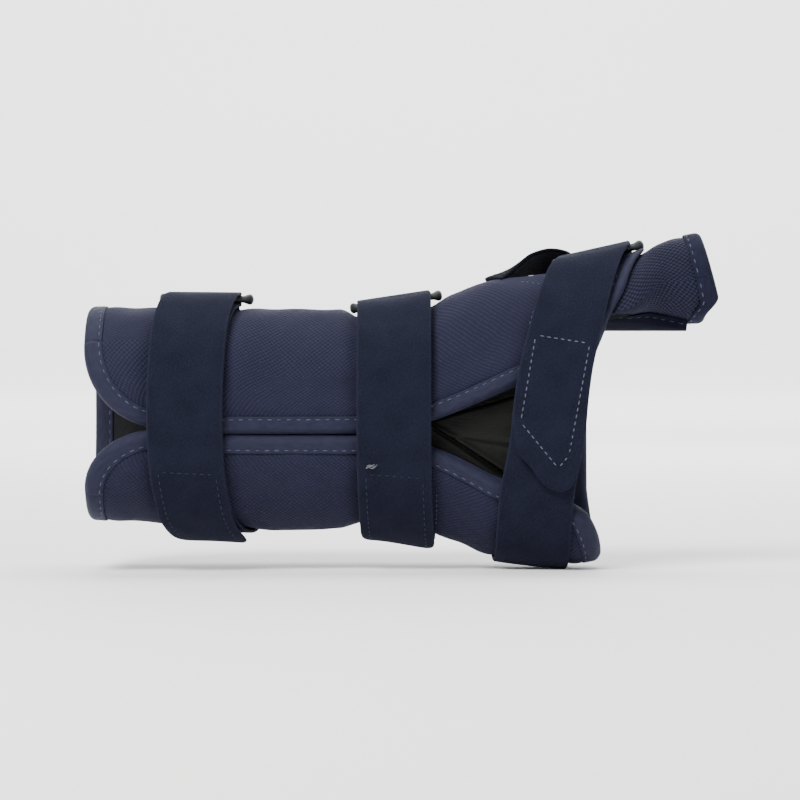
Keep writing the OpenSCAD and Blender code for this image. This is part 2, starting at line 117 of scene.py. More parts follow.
# The thumb sleeve.
THUMB_X, THUMB_TURN, WEB_REACH = 64, 38, 15
THUMB_END_X, THUMB_END_SLANT = 115.3, 3.8
THUMB_T = 3.6
OVAL_FROM, OVAL_TO = 84, 100  # the sleeve grows from the wrap's shape into a free oval here
WEB_FROM, WEB_TO = 76, 107
THUMB_LOW = [(64, 30), (80, 37.4), (93, 37.2), (107, 35.5), (120, 36.5)]
THUMB_DEPTH = [(64, 17.5), (86, 16), (98, 14), (120, 15)]
THUMB_Y = [(84, -4), (120, -3)]


def curve(points):
    """A function for the smooth curve through points, flat beyond them and with no overshoot."""
    x, y = np.array(points, float).T
    h, d = np.diff(x), np.diff(y) / np.diff(x)
    m = np.zeros(len(x))
    for i in range(1, len(x) - 1):
        if d[i - 1] * d[i] > 0:
            a, b = 2 * h[i] + h[i - 1], h[i] + 2 * h[i - 1]
            m[i] = (a + b) / (a / d[i - 1] + b / d[i])
    m[0], m[-1] = d[0], d[-1]

    def at(v):
        v = np.clip(np.asarray(v, float), x[0], x[-1])
        i = np.clip(np.searchsorted(x, v, side="right") - 1, 0, len(x) - 2)
        t = (v - x[i]) / h[i]
        return ((2 * t**3 - 3 * t**2 + 1) * y[i] + (t**3 - 2 * t**2 + t) * h[i] * m[i]
                + (3 * t**2 - 2 * t**3) * y[i + 1] + (t**3 - t**2) * h[i] * m[i + 1])
    return at


def smooth_path(points, stations, fine):
    """The smooth curve through points at the given stations, at each fine station."""
    return np.stack([curve(list(zip(stations, axis)))(fine) for axis in np.transpose(points)], -1)


top, bottom, depth = curve(TOP), curve(BOTTOM), curve(DEPTH)
edges = {1: curve(RADIAL_EDGE), -1: curve(ULNAR_EDGE)}
routes = {name: curve(points) for name, points in ROUTES.items()}
thumb_low, thumb_depth, thumb_y = curve(THUMB_LOW), curve(THUMB_DEPTH), curve(THUMB_Y)


def mix(a, b, f):
    return a + (b - a) * f


def ease(f):
    f = np.clip(f, 0, 1)
    return f * f * (3 - 2 * f)


def spow(a):
    return np.sign(a) * np.abs(a) ** (2 / SQUARENESS)


def bow_y(x):
    return PALM_Y - BOW_R + np.sqrt(BOW_R**2 - (x - BOW_X) ** 2)


def mid_z(x):
    return (top(x) + bottom(x)) / 2


def half_z(x):
    return (top(x) - bottom(x)) / 2


def mid_y(x):
    return bow_y(x) - depth(x)


def spread(*values):
    """The values as float arrays of one common shape."""
    return np.broadcast_arrays(*(np.asarray(value, float) for value in values))


def skin(x, turn, lift=0.0):
    """The point at x, at an angle round the arm in degrees and at a height over the wrap."""
    x, turn, lift = spread(x, turn, lift)
    a = np.radians(turn)
    return np.stack([x, mid_y(x) - (depth(x) + lift) * spow(np.cos(a)),
                     mid_z(x) + (half_z(x) + lift) * spow(np.sin(a))], axis=-1)


def turn_at(x, z, lift=0.0):
    """The angle at which the back of the splint, lift over the wrap, is at height z."""
    k = np.clip((z - mid_z(x)) / (half_z(x) + lift), -1, 1)
    return np.degrees(np.arcsin(np.sign(k) * np.abs(k) ** (SQUARENESS / 2)))


def whole_turn(count):
    """Evenly spaced angles in degrees round a whole turn, from 0."""
    return np.linspace(0, 360, count + 1)[:-1]


def unit(v):
    v = np.asarray(v, float)
    return v / np.linalg.norm(v, axis=-1, keepdims=True)


def strap_line(name, turn):
    return routes[name](np.clip(turn, ROUTES[name][0][0], ROUTES[name][-1][0]))


def pressed(x, turn):
    """How far the straps press the wrap in, and the slight swell beside them."""
    turn = (np.asarray(turn, float) + 180) % 360 - 180
    under_strap = ease((142 - np.abs(turn + 2)) / 12)
    push = np.zeros(np.broadcast(x, turn).shape)
    for name in ROUTES:
        off = np.abs(x - strap_line(name, turn)) - STRAP_W / 2
        dip, swell = 0.55 * ease((3 - off) / 5), 0.35 * np.exp(-((off - 6) / 4) ** 2)
        push = push + under_strap * (swell - dip)
    return push


# ---------------------------------------------------------------- mesh making
def new_object(name, points, faces, uvs, material):
    """A mesh from points and UVs in millimetres; the UVs are kept in metres too."""
    mesh = bpy.data.meshes.new(name)
    mesh.from_pydata((np.asarray(points, float) * MM).tolist(), [], faces)
    if uvs is not None:
        layer = mesh.uv_layers.new(name="Cloth")
        layer.data.foreach_set("uv", (np.asarray(uvs, float) * MM).astype(np.float32).ravel())
    bm = bmesh.new()
    bm.from_mesh(mesh)
    bmesh.ops.remove_doubles(bm, verts=bm.verts, dist=1e-7)
    bmesh.ops.dissolve_degenerate(bm, edges=bm.edges, dist=1e-7)
    bmesh.ops.recalc_face_normals(bm, faces=bm.faces)
    bm.to_mesh(mesh)
    bm.free()
    mesh.polygons.foreach_set("use_smooth", [True] * len(mesh.polygons))
    mesh.materials.append(material)
    obj = bpy.data.objects.new(name, mesh)
    bpy.context.scene.collection.objects.link(obj)
    return obj


def loft(name, rings, uv, material, closed=False):
    """A closed mesh through rings [n, m, 3]: each ring's points go once round the section.

    uv is [n, m + 1, 2]. The two ends are capped by pairing each ring's points across, unless
    the last ring joins the first."""
    n, m = rings.shape[:2]
    faces, uvs = [], []
    for i in range(n if closed else n - 1):
        k = (i + 1) % n
        for j in range(m):
            faces.append((i * m + j, i * m + (j + 1) % m, k * m + (j + 1) % m, k * m + j))
            uvs += [uv[i, j], uv[i, j + 1], uv[i + 1, j + 1], uv[i + 1, j]]
    if not closed:
        for i in (0, n - 1):
            for j in range(m // 2):
                corners = [j, j + 1, (m - j - 1) % m, (m - j) % m]
                corners = [c for c, near in zip(corners, corners[-1:] + corners[:-1]) if c != near]
                faces.append(tuple(i * m + c for c in corners))
                uvs += [uv[i, c] for c in corners]
    return new_object(name, rings.reshape(-1, 3), faces, uvs, material)


def arc_lengths(points):
    """The length along a row of points, from 0."""
    steps = np.linalg.norm(np.diff(points, axis=0), axis=-1)
    return np.concatenate([[0], np.cumsum(steps)])


def grid_uv(grid):
    """UVs in millimetres for a grid: along its rows and its columns as they lie."""
    rows, cols = grid.shape[:2]
    u, v = np.zeros((rows, cols)), np.zeros((rows, cols))
    du = np.linalg.norm(np.diff(grid, axis=0), axis=-1)
    dv = np.linalg.norm(np.diff(grid, axis=1), axis=-1)
    u[1:] = np.cumsum(du.mean(axis=1, keepdims=True) * np.ones_like(du), axis=0)
    v[:, 1:] = np.cumsum(dv.mean(axis=0, keepdims=True) * np.ones_like(dv), axis=1)
    return np.stack([u, v], axis=-1)


def slab(name, outer, inner, material, closed=False):
    """A closed layer between two matching grids; with closed, the last column joins the first."""
    rows, cols = outer.shape[:2]
    uv = grid_uv(outer)
    # Past the last column the cloth's own coordinates run on by the whole way round.
    way_round = uv[:, -1, 1].mean() + np.linalg.norm(outer[:, -1] - outer[:, 0], axis=-1).mean()
    last = cols if closed else cols - 1
    faces, uvs = [], []

    def face(corners):
        """Adds a face from its corners, as (0 outer or 1 inner, row, column)."""
        faces.append(tuple((rows * side + r) * cols + c % cols for side, r, c in corners))
        uvs.extend(uv[r, c % cols] + [0, way_round * (c // cols)] for _, r, c in corners)

    for r in range(rows - 1):
        for c in range(last):
            quad = [(r, c), (r, c + 1), (r + 1, c + 1), (r + 1, c)]
            face([(0, *q) for q in quad])
            face([(1, *q) for q in reversed(quad)])
    for c in range(last):
        for r in (0, rows - 1):
            face([(0, r, c), (1, r, c), (1, r, c + 1), (0, r, c + 1)])
    if not closed:
        for r in range(rows - 1):
            for c in (0, cols - 1):
                face([(0, r, c), (1, r, c), (1, r + 1, c), (0, r + 1, c)])
    return new_object(name, np.concatenate([outer.reshape(-1, 3), inner.reshape(-1, 3)]), faces,
                      uvs, material)


def strip_section(left, right, thick, flat_steps=14, arc_steps=3):
    """A flat strip's section with round edges: (across, height) round it, height 0 to thick.

    left and right may be arrays, one value a station, so that a strip can narrow."""
    left, right = np.atleast_1d(left).astype(float), np.atleast_1d(right).astype(float)
    r = np.minimum(thick / 2, (right - left) / 2)[:, None]
    a = np.radians(np.linspace(0, 90, arc_steps + 1))
    near, rise = r * (1 - np.cos(a)), np.sin(a)
    flat = np.linspace(0, 1, flat_steps + 1)[1:-1]
    left, right = left[:, None], right[:, None]
    across = np.concatenate([left + near, mix(left + r, right - r, flat), (right - near)[:, ::-1]], 1)
    up = np.concatenate([rise, np.ones(len(flat)), rise[::-1]])
    height = thick / 2 * (1 + up) * np.ones_like(across)
    low = thick - height
    return (np.concatenate([across, across[:, -2:0:-1]], 1),
            np.concatenate([height, low[:, -2:0:-1]], 1))


def resample(points, pitch):
    """Evenly spaced places along a row of points, as fractional indices."""
    length = arc_lengths(points)
    count = max(1, int(length[-1] / pitch))
    at = (length[-1] - count * pitch) / 2 + pitch * (np.arange(count) + 0.5)
    return np.interp(at, length, np.arange(len(points)))


def along(rows, at):
    """Values at fractional indices of a row of points."""
    i = np.clip(at.astype(int), 0, len(rows) - 2)
    return mix(rows[i], rows[i + 1], (at - i)[:, None])


STITCH_PITCH = 3.5


def faced(low, high):
    """A row of points with its normals, which point at a second row above it."""
    return low, unit(high - low)


def stitches(name, lines, material, pitch=STITCH_PITCH, length=2.1, radius=0.23):
    """Running stitches as small beads of thread. Each line is (points, normals)."""
    sides, steps = 6, 5
    verts, faces = [], []
    for points, normals in lines:
        at = resample(points, pitch)
        place, up = along(points, at), unit(along(normals, at))
        ahead = unit(along(points, np.minimum(at + 0.01, len(points) - 1.001))
                     - along(points, np.maximum(at - 0.01, 0)))
        side = unit(np.cross(up, ahead))
        for p, f, s, n in zip(place, ahead, side, up):
            base = len(verts)
            for k in range(steps + 1):
                t = k / steps * 2 - 1
                fat = radius * math.sqrt(max(0.0, 1 - t * t)) ** 0.7
                middle = p + f * t * length / 2 + n * radius * (0.75 - 1.1 * t * t)
                for j in range(sides):
                    a = 2 * math.pi * j / sides
                    verts.append(middle + s * math.cos(a) * (fat + 0.02)
                                 + n * math.sin(a) * (fat * 0.8 + 0.02))
            for k in range(steps):
                for j in range(sides):
                    a, b = base + k * sides, base + (k + 1) * sides
                    faces.append((a + j, a + (j + 1) % sides, b + (j + 1) % sides, b + j))
            faces.append(tuple(base + j for j in reversed(range(sides))))
            faces.append(tuple(base + steps * sides + j for j in range(sides)))
    return new_object(name, verts, faces, None, material)


# ---------------------------------------------------------------- materials
SOFT_SHEEN = {"Sheen_Weight": 0.04, "Sheen_Roughness": 0.45, "Sheen_Tint": (0.5, 0.56, 0.8)}


class Shader:
    """A material made by short calls.

    A node's value may be another node's socket, and a colour is given as three numbers."""

    def __init__(self, name):
        self.material = bpy.data.materials.new(name)
        self.material.use_nodes = True
        self.tree = self.material.node_tree
        self.tree.nodes.clear()

    def node(self, kind, values=None, **settings):
        made_node = self.tree.nodes.new("ShaderNode" + kind)
        for key, value in settings.items():
            setattr(made_node, key, value)
        for key, value in (values or {}).items():
            if isinstance(value, bpy.types.NodeSocket):
                self.tree.links.new(value, made_node.inputs[key])
            else:
                colour = isinstance(value, tuple)
                made_node.inputs[key].default_value = (*value, 1.0) if colour else value
        return made_node

    def math(self, operation, a, b=0.0, c=0.0):
        return self.node("Math", {0: a, 1: b, 2: c}, operation=operation).outputs[0]

    def times(self, a, b):
        return self.math("MULTIPLY", a, b)

    def plus(self, a, b):
        return self.math("ADD", a, b)

    def times_plus(self, a, b, c):
        return self.math("MULTIPLY_ADD", a, b, c)

    def between(self, value, low, high):
        """0 below low and 1 above high, smooth in between."""
        return self.node("MapRange", {"Value": value, "From Min": low, "From Max": high},
                         interpolation_type="SMOOTHSTEP").outputs["Result"]

    def cloth_mm(self):
        """The cloth's own two directions, in millimetres."""
        uv = self.node("UVMap", uv_map="Cloth").outputs["UV"]
        split = self.node("SeparateXYZ", {0: uv})
        return self.times(split.outputs[0], 1000.0), self.times(split.outputs[1], 1000.0)

    def vector(self, x, y, z=0.0):
        return self.node("CombineXYZ", {0: x, 1: y, 2: z}).outputs[0]

    def noise(self, vector, scale, detail=2.0, rough=0.5):
        return self.node("TexNoise", {"Vector": vector, "Scale": scale, "Detail": detail,
                                      "Roughness": rough}).outputs["Fac"]

    def wave(self, value, period):
        """A sine of value, from -1 to 1."""
        return self.math("SINE", self.times_plus(value, 2 * math.pi / period, 0.0))

    def mix(self, factor, a, b):
        return self.node("Mix", {0: factor, 6: a, 7: b}, data_type="RGBA").outputs[2]

    def object_mm(self):
        place = self.node("TexCoord").outputs["Object"]
        return self.node("VectorMath", {0: place, 3: 1000.0}, operation="SCALE").outputs[0]

    def finish(self, colour, roughness, height=None, depth_mm=0.2, **constants):
        values = {"Base Color": colour, "Roughness": roughness}
        values.update({key.replace("_", " "): value for key, value in constants.items()})
        if height is not None:
            values["Normal"] = self.node("Bump", {"Height": height, "Strength": 1.0,
                                                  "Distance": depth_mm * MM}).outputs[0]
        shader = self.node("BsdfPrincipled", values)
        self.tree.links.new(shader.outputs[0], self.node("OutputMaterial").inputs["Surface"])
        return self.material


def toned(colour, tone):
    return tuple(c * tone for c in colour)


def mesh_fabric(name, across, down, hole, dark, mid, light, depth_mm):
    """Knitted mesh: staggered holes across x down mm apart, with paler loops on its ribs and painted
    glints on them.
    """
    s = Shader(name)
    u, v = s.cloth_mm()
    u = s.times_plus(s.noise(s.vector(u, v), 0.12, 2.0), 1.6, u)
    cells = s.times(s.wave(u, across), s.wave(v, down))
    # Each rib is broken up by the loops that it is knitted from.
    rib = s.plus(cells, s.times(s.wave(s.plus(u, v), across * 0.47), 0.18))
    cell_place = s.vector(s.math("FLOOR", s.math("DIVIDE", u, across / 2)),
                          s.math("FLOOR", s.math("DIVIDE", v, down / 2)))
    cell = s.node("TexWhiteNoise", {"Vector": cell_place}, noise_dimensions="2D").outputs["Value"]
    cloud = s.between(s.noise(s.vector(u, v), 0.045, 3.0), 0.3, 0.75)
    base = s.mix(cloud, toned(mid, 0.88), toned(mid, 1.12))
    loop_light = s.times(s.between(rib, 0.15, 0.9), s.times_plus(cell, 0.6, 0.3))
    # Painted glints: random spots where the loops are painted paler, as yarn catching the light.
    painted_glints = s.between(s.noise(s.vector(u, v), 0.9, 1.0), 0.56, 0.7)
    lit = s.mix(s.times(loop_light, s.times_plus(painted_glints, 0.7, 0.45)), base, light)
    colour = s.mix(s.between(rib, hole, hole + 0.35), dark, lit)
    return s.finish(colour, 0.8, s.between(rib, -0.75, 0.55), depth_mm, **SOFT_SHEEN,
                    Specular_IOR_Level=0.12)


def pile_fabric():
    """Brushed loop fabric: short soft fibres, faint mottling, and a painted highlight along both
    edges.
    """
    s = Shader("strap_loop")
    u, v = s.cloth_mm()
    fibres = s.noise(s.vector(s.times(u, 0.5), v), 3.2, 3.0, 0.75)
    tufts = s.noise(s.vector(u, v), 1.3, 2.0)
    mottle = s.noise(s.vector(u, v), 0.1, 1.0)
    warp = s.times(s.wave(v, 1.1), s.wave(u, 1.4))
    # rim is a painted highlight: both edges of the strap are painted paler, as where rounded edges
    # catch the light.
    rim = s.between(s.math("ABSOLUTE", v), STRAP_W / 2 - 1.0, STRAP_W / 2 - 0.1)
    grain = s.times_plus(tufts, 0.35, s.times(fibres, 0.5))
    shade = s.times_plus(warp, 0.035, s.times_plus(mottle, 0.15, grain))
    base = s.mix(s.between(shade, 0.34, 0.66), (0.0036, 0.0043, 0.0103),
                 (0.0103, 0.0117, 0.025))
    base = s.mix(s.times(s.between(fibres, 0.62, 0.8), 0.3), base, (0.02, 0.0215, 0.04))
    base = s.mix(s.times(rim, 0.3), base, (0.019, 0.0205, 0.038))
    height = s.plus(s.times_plus(tufts, 0.7, s.times(warp, 0.1)), fibres)
    return s.finish(base, 0.9, height, 0.18, **SOFT_SHEEN, Specular_IOR_Level=0.08)


def tape_fabric(name, tone, shine=0.16):
    """A finely woven binding tape; tone scales its colour and shine is its surface gloss."""
    s = Shader(name)
    u, v = s.cloth_mm()
    twill = s.wave(s.plus(u, v), 0.62)
    weft = s.wave(s.math("SUBTRACT", u, s.times(v, 0.4)), 0.5)
    weave = s.times_plus(weft, 0.35, twill)
    slub = s.noise(s.vector(s.times(u, 0.35), v), 0.8, 2.0)
    base = s.mix(s.between(slub, 0.3, 0.7), toned((0.0092, 0.0098, 0.0245), tone),
                 toned((0.0134, 0.0142, 0.0335), tone))
    base = s.mix(s.times(s.between(weave, 0.0, 1.2), 0.3), base,
                 toned((0.022, 0.0232, 0.047), tone))
    height = s.times_plus(slub, 0.8, s.times(weave, 0.25))
    return s.finish(base, 0.92 - 1.6 * shine, height, 0.12, **SOFT_SHEEN,
                    Specular_IOR_Level=shine)


def webbing_fabric(name, tone):
    """Flat woven webbing in a herringbone of narrow ribs."""
    s = Shader(name)
    u, v = s.cloth_mm()
    side = s.math("ABSOLUTE", s.math("SUBTRACT", s.math("PINGPONG", v, 2.0), 1.0))
    chevron = s.wave(s.times_plus(side, 1.1, u), 1.15)
    height = s.times_plus(chevron, 0.4, s.noise(s.vector(u, s.times(v, 3.0)), 1.6, 2.0))
    base = s.mix(s.between(height, 0.1, 0.9), toned((0.004, 0.0045, 0.0095), tone),
                 toned((0.0125, 0.0135, 0.026), tone))
    return s.finish(base, 0.86, height, 0.18, **SOFT_SHEEN, Specular_IOR_Level=0.05)


def hook_fabric():
    """A moulded hook strip: rows of tiny hooks on a flat backing."""
    s = Shader("hook")
    u, v = s.cloth_mm()
    hooks = s.times(s.between(s.wave(u, 1.1), 0.0, 0.9), s.between(s.wave(v, 0.9), 0.0, 0.9))
    base = s.mix(hooks, (0.004, 0.0045, 0.007), (0.015, 0.0165, 0.024))
    return s.finish(base, 0.6, hooks, 0.35, Specular_IOR_Level=0.25)


def satin_fabric():
    """Smooth black warp knit with fine lengthwise lines and a soft lustre."""
    s = Shader("satin")
    u, v = s.cloth_mm()
    lines = s.wave(s.plus(v, s.times(s.noise(s.vector(u, v), 0.3), 0.8)), 0.55)
    soft = s.noise(s.vector(s.times(u, 0.3), v), 0.5, 3.0)
    base = s.mix(soft, (0.0036, 0.0036, 0.0034), (0.0068, 0.0068, 0.0063))
    rough = s.node("MapRange", {"Value": soft, "To Min": 0.42, "To Max": 0.58}).outputs[0]
    return s.finish(base, rough, s.times_plus(lines, 0.3, soft), 0.1, Specular_IOR_Level=0.11)


def lining_fabric():
    """Brushed black lining with a soft nap."""
    s = Shader("lining")
    place = s.object_mm()
    nap = s.noise(place, 1.4, 3.0, 0.65)
    patch = s.noise(place, 0.07, 2.0)
    base = s.mix(s.times_plus(nap, 0.6, s.times(patch, 0.4)),
                 (0.006, 0.006, 0.007), (0.026, 0.026, 0.03))
    return s.finish(base, 0.92, nap, 0.25, **SOFT_SHEEN, Specular_IOR_Level=0.1)


def foam_material():
    """Open-cell foam: fine cells and a slight uneven tone."""
    s = Shader("foam")
    place = s.object_mm()
    cells = s.node("TexVoronoi", {"Vector": place, "Scale": 1.7}).outputs["Distance"]
    tone = s.noise(place, 0.08, 2.0)
    base = s.mix(s.between(cells, 0.1, 0.6), (0.03, 0.03, 0.034), (0.11, 0.11, 0.12))
    base = s.mix(s.times(tone, 0.3), base, (0.16, 0.16, 0.15))
    return s.finish(base, 0.95, cells, 0.4, Specular_IOR_Level=0.15)


def stay_metal():
    """Rolled aluminium with fine lengthwise brushing and a few dull patches."""
    s = Shader("stay_metal")
    place = s.node("SeparateXYZ", {0: s.object_mm()})
    grain = s.vector(s.times(place.outputs[0], 0.05), place.outputs[1], place.outputs[2])
    brushed = s.noise(grain, 5.0, 2.0)
    dull = s.noise(s.object_mm(), 0.06, 3.0)
    base = s.mix(s.between(dull, 0.35, 0.7), (0.235, 0.24, 0.245), (0.29, 0.295, 0.3))
    rough = s.times_plus(brushed, 0.22, s.times_plus(dull, 0.16, 0.26))
    return s.finish(base, rough, brushed, 0.02, Metallic=1.0)


def ring_plastic():
    """Satin moulded plastic with a faint grain and softly worn high spots."""
    s = Shader("ring_plastic")
    place = s.object_mm()
    grain = s.noise(place, 2.2, 2.0)
    flow = s.noise(place, 0.18, 3.0)
    base = s.mix(s.between(flow, 0.3, 0.7), (0.012, 0.0145, 0.0155), (0.024, 0.029, 0.03))
    rough = s.times_plus(grain, 0.18, s.times_plus(flow, 0.12, 0.38))
    return s.finish(base, rough, grain, 0.05, Specular_IOR_Level=0.35)


def thread(name, pale, dark):
    """Twisted sewing thread."""
    s = Shader(name)
    place = s.node("SeparateXYZ", {0: s.object_mm()})
    total = s.plus(s.plus(place.outputs[0], place.outputs[1]), place.outputs[2])
    twist = s.wave(total, 0.45)
    tone = s.noise(s.object_mm(), 0.35, 1.0)
    base = s.mix(s.times_plus(twist, 0.25, tone), dark, pale)
    return s.finish(base, 0.6, twist, 0.08, Specular_IOR_Level=0.25)


KNIT = mesh_fabric("knit", across=1.7, down=1.45, hole=-0.62, dark=(0.0076, 0.0078, 0.0183),
                   mid=(0.0124, 0.0128, 0.0305), light=(0.024, 0.0248, 0.052), depth_mm=0.17)
OPEN_MESH = mesh_fabric("open_mesh", across=1.9, down=1.65, hole=-0.3, dark=(0.0044, 0.0047, 0.011),
                        mid=(0.0122, 0.013, 0.0315), light=(0.026, 0.0275, 0.057), depth_mm=0.34)
STRAP = pile_fabric()
TAPE = tape_fabric("edge_tape", 1.0)
# The thumb's end tape is the edge tape's cloth toned darker: painted shade for the shade that the
# thumb's end lies in.
PAINTED_SHADE_TAPE = tape_fabric("thumb_tape_painted_shade", 0.74, 0.08)
# The web gusset's cloth is the tape toned much darker: painted shade for the deep shade under the
# thumb's base.
PAINTED_SHADE_GUSSET = tape_fabric("gusset_cloth", 0.3, 0.02)
WEBBING = webbing_fabric("webbing", 0.85)
# The band's webbing is toned darker than the ring tabs' webbing: painted shade on its underside,
# which shows and lies in shade.
PAINTED_SHADE_WEBBING = webbing_fabric("band_webbing", 0.3)
HOOK = hook_fabric()
SATIN = satin_fabric()
LINING = lining_fabric()
FOAM = foam_material()
METAL = stay_metal()
PLASTIC = ring_plastic()
THREAD = thread("thread", (0.09, 0.097, 0.165), (0.038, 0.041, 0.08))
PATCH_THREAD = thread("patch_thread", (0.15, 0.157, 0.205), (0.07, 0.075, 0.115))
DARK_THREAD = thread("dark_thread", (0.022, 0.0245, 0.042), (0.01, 0.0115, 0.022))
PALE_THREAD = thread("pale_thread", (0.21, 0.22, 0.235), (0.11, 0.12, 0.135))


# ---------------------------------------------------------------- the wrap
LOBE_COLS, LAST_COL, VOLAR_TURN = 5, 14, 150
PANEL_ROWS, PALM_END_X, RUMPLE = 118, 71.0, 0.16
ULNAR_DISTAL = curve([(0, 62.6), (1, 66.4), (2, 70), (5, 75), (10, 73), (14, 71)])
SIDE_NAMES = {1: "radial", -1: "ulnar"}
FOLD_E, FOLD_MID = 2.0, LAMINATE_T / 2
TAPE_T, TAPE_LEG, TAPE_GAP, STITCH_E = 0.45, 5.7, 0.12, 4.7
EDGE_PRESS = 0.6  # how much of the straps' press the stiff edge tapes take


def lobe(col):
    return np.radians(90 * np.minimum(col, LOBE_COLS) / LOBE_COLS)


def lobe_height(side, x):
    return mix(LOBE_H[side], RIM_H, np.clip((x - LOBE_END) / 40, 0, 1))


def flap_turn(side, x, col):
    """The angle round the arm of a flap's column, from its free edge to LAST_COL at the palm seam."""
    rim = turn_at(x, edges[side](x) + side * lobe_height(side, x) * (1 - np.cos(lobe(col))))
    rest = np.clip((col - LOBE_COLS) / (LAST_COL - LOBE_COLS), 0, 1)
    return mix(rim, side * VOLAR_TURN, rest)


def flap_start(col):
    return PROX_X + LOBE_R * (1 - np.sin(lobe(col)))


def knuckle_edge(turn):
    """Where the radial flap ends: it comes out from under the hand strap towards the thumb."""
    past = STRAP_W / 2 + mix(-1.2, 4.4, ease((turn - 19) / 34))
    along_strap = strap_line("hand", np.minimum(turn, 96)) + past
    return mix(along_strap, PALM_END_X, ease((turn - 96) / 46))


def flap_end(side, col, padding=False):
    """The last row of a flap; its padding stops short where the thumb sleeve is sewn on."""
    if side < 0:
        return ULNAR_DISTAL(col)
    x = np.full(np.shape(col), 75.0)
    for _ in range(6):
        turn = flap_turn(1, x, col)
        x = knuckle_edge(turn)
        if padding:
            x = mix(x, THUMB_X - 0.5, ease((turn - 24) / 10) * ease((149 - turn) / 8))
    return x


def single(x, turn):
    """1 where the radial flap is a single layer of cloth over the thumb sleeve."""
    return ease((x - THUMB_X + 2) / 5) * ease((turn - 27) / 8) * ease((150 - turn) / 8)


def turn_over_thumb(a):
    """The angle round the arm for an angle over the thumb sleeve's upper half."""
    return THUMB_TURN + a * (180 - 2 * THUMB_TURN) / 180


def thumb_at(x, a, lift=0.0):
    """A place on the thumb sleeve: a is 0 on the back, 90 on top and 270 in the web."""
    x, a, lift = spread(x, np.mod(a, 360), lift)
    r = np.radians(a)
    low, high = thumb_low(x), top(x)
    oval = np.stack([x, thumb_y(x) - (thumb_depth(x) + lift) * np.cos(r),
                     (high + low) / 2 + ((high - low) / 2 + lift) * np.sin(r)], -1)
    upper = skin(x, turn_over_thumb(a), lift)
    wall = depth(x) * spow(np.cos(np.radians(THUMB_TURN))) + lift
    side_z = mid_z(x) + (half_z(x) + lift) * spow(np.sin(np.radians(THUMB_TURN)))
    lower = np.stack([x, mid_y(x) - wall * np.cos(r), side_z + (side_z - low + lift) * np.sin(r)], -1)
    root = np.where((a <= 180)[..., None], upper, lower)
    return mix(root, oval, ease((x - OVAL_FROM) / (OVAL_TO - OVAL_FROM))[..., None])


def hand_skin(x, turn, lift=0.0):
    """The wrap's surface, which follows the thumb sleeve where it lies over it."""
    x, turn, lift = spread(x, turn, lift)
    a = np.clip((turn - THUMB_TURN) * 180 / (180 - 2 * THUMB_TURN), 0, 180)
    on_thumb = (x > THUMB_X) & (turn > THUMB_TURN) & (turn < 180 - THUMB_TURN)
    return np.where(on_thumb[..., None], thumb_at(x, a, lift), skin(x, turn, lift))


def distance_to(line, points):
    """The distance from each point of a grid to a row of points."""
    flat = points.reshape(-1, 3)
    near = np.min(np.linalg.norm(flat[:, None] - line[None], axis=-1), axis=1)
    return near.reshape(points.shape[:2])


def squeezed(lift, e, middle):
    """Draws the laminate together near its edge, where the tape folds round it."""
    k = np.clip((FOLD_E - e) / (FOLD_E + 0.6), 0, 1)
    return middle + (lift - middle) * np.sqrt(1 - k * k)


def rumple(x, turn):
    """Soft unevenness of the padded cloth."""
    a = np.radians(turn)
    waves = (np.sin(0.071 * x + 1.3 * np.sin(2.1 * a)) * np.cos(2.7 * a + 0.03 * x)
             + 0.6 * np.sin(0.163 * x - 3.9 * a + 0.8) + 0.45 * np.sin(0.27 * x + 7.3 * a)
             + 0.3 * np.sin(0.41 * x - 11.0 * a + 2.0))
    return RUMPLE * waves


def strap_creases(x, turn):
    """Short gathers that run out from under the straps."""
    total = 0.0
    for k, name in enumerate(ROUTES):
        off = np.abs(x - strap_line(name, turn)) - STRAP_W / 2
        fade = np.where(off > -2, np.exp(-np.maximum(off, 0) / 7.0), 0)
        total = total + fade * np.sin(np.radians(turn) * (13 + 2 * k) + k) * 0.16
    return total


def puffed(x, turn, e):
    """The outer face's lift: pressed by the straps, dipping at the stitches and padded inside."""
    quilt = -0.35 * np.exp(-((e - STITCH_E) / 1.1) ** 2) + 0.45 * np.exp(-((e - 9.5) / 4.0) ** 2)
    tucked = -0.25 * ease((6.5 - e) / 2)
    return pressed(x, turn) + quilt + tucked + rumple(x, turn) + strap_creases(x, turn)


class Panel:
    """One part of the wrap's laminate as a grid of places: x, turn and distance to its edge."""

    def __init__(self, side, cols=72, padding=False):
        self.side = side
        down = np.linspace(0, 1, PANEL_ROWS)[:, None]
        if side == 0:
            seam_ends = [flap_end(flap, np.array(float(LAST_COL))) for flap in (1, -1)]
            self.x = mix(PROX_X, mix(*seam_ends, np.linspace(0, 1, cols)), down)
            self.turn = np.linspace(VOLAR_TURN, 360 - VOLAR_TURN, cols) * np.ones_like(down)
        else:
            # Columns are finer round the lobe and run out evenly to the seam.
            lobe_part = np.linspace(0, LOBE_COLS, 22)[:-1]
            col = np.concatenate([lobe_part, np.linspace(LOBE_COLS, LAST_COL, cols - 21)])
            self.x = mix(flap_start(col), flap_end(side, col, padding), down)
            self.turn = flap_turn(side, self.x, col[None])
        flat = hand_skin(self.x, self.turn)
        rim = [flat[0], flat[-1]] + ([] if side == 0 else [flat[:, 0]])
        fine = [along(row, np.linspace(0, len(row) - 1, 4 * len(row))) for row in rim]
        self.e = distance_to(np.concatenate(fine), flat)

    def lift(self, lift, follow=1.0):
        """A layer's places: follow is how far it takes part in the outer face's shape."""
        alone = single(self.x, self.turn) if self.side > 0 else 0.0
        shaped = lift + follow * puffed(self.x, self.turn, self.e) + 1.1 * alone
        return hand_skin(self.x, self.turn, squeezed(shaped, self.e, mix(-FOLD_MID, 0.6, alone)))


panels = {side: Panel(side) for side in (1, -1)}
panels[0] = Panel(0, cols=40)
inside = [Panel(1, padding=True), panels[0], panels[-1]]


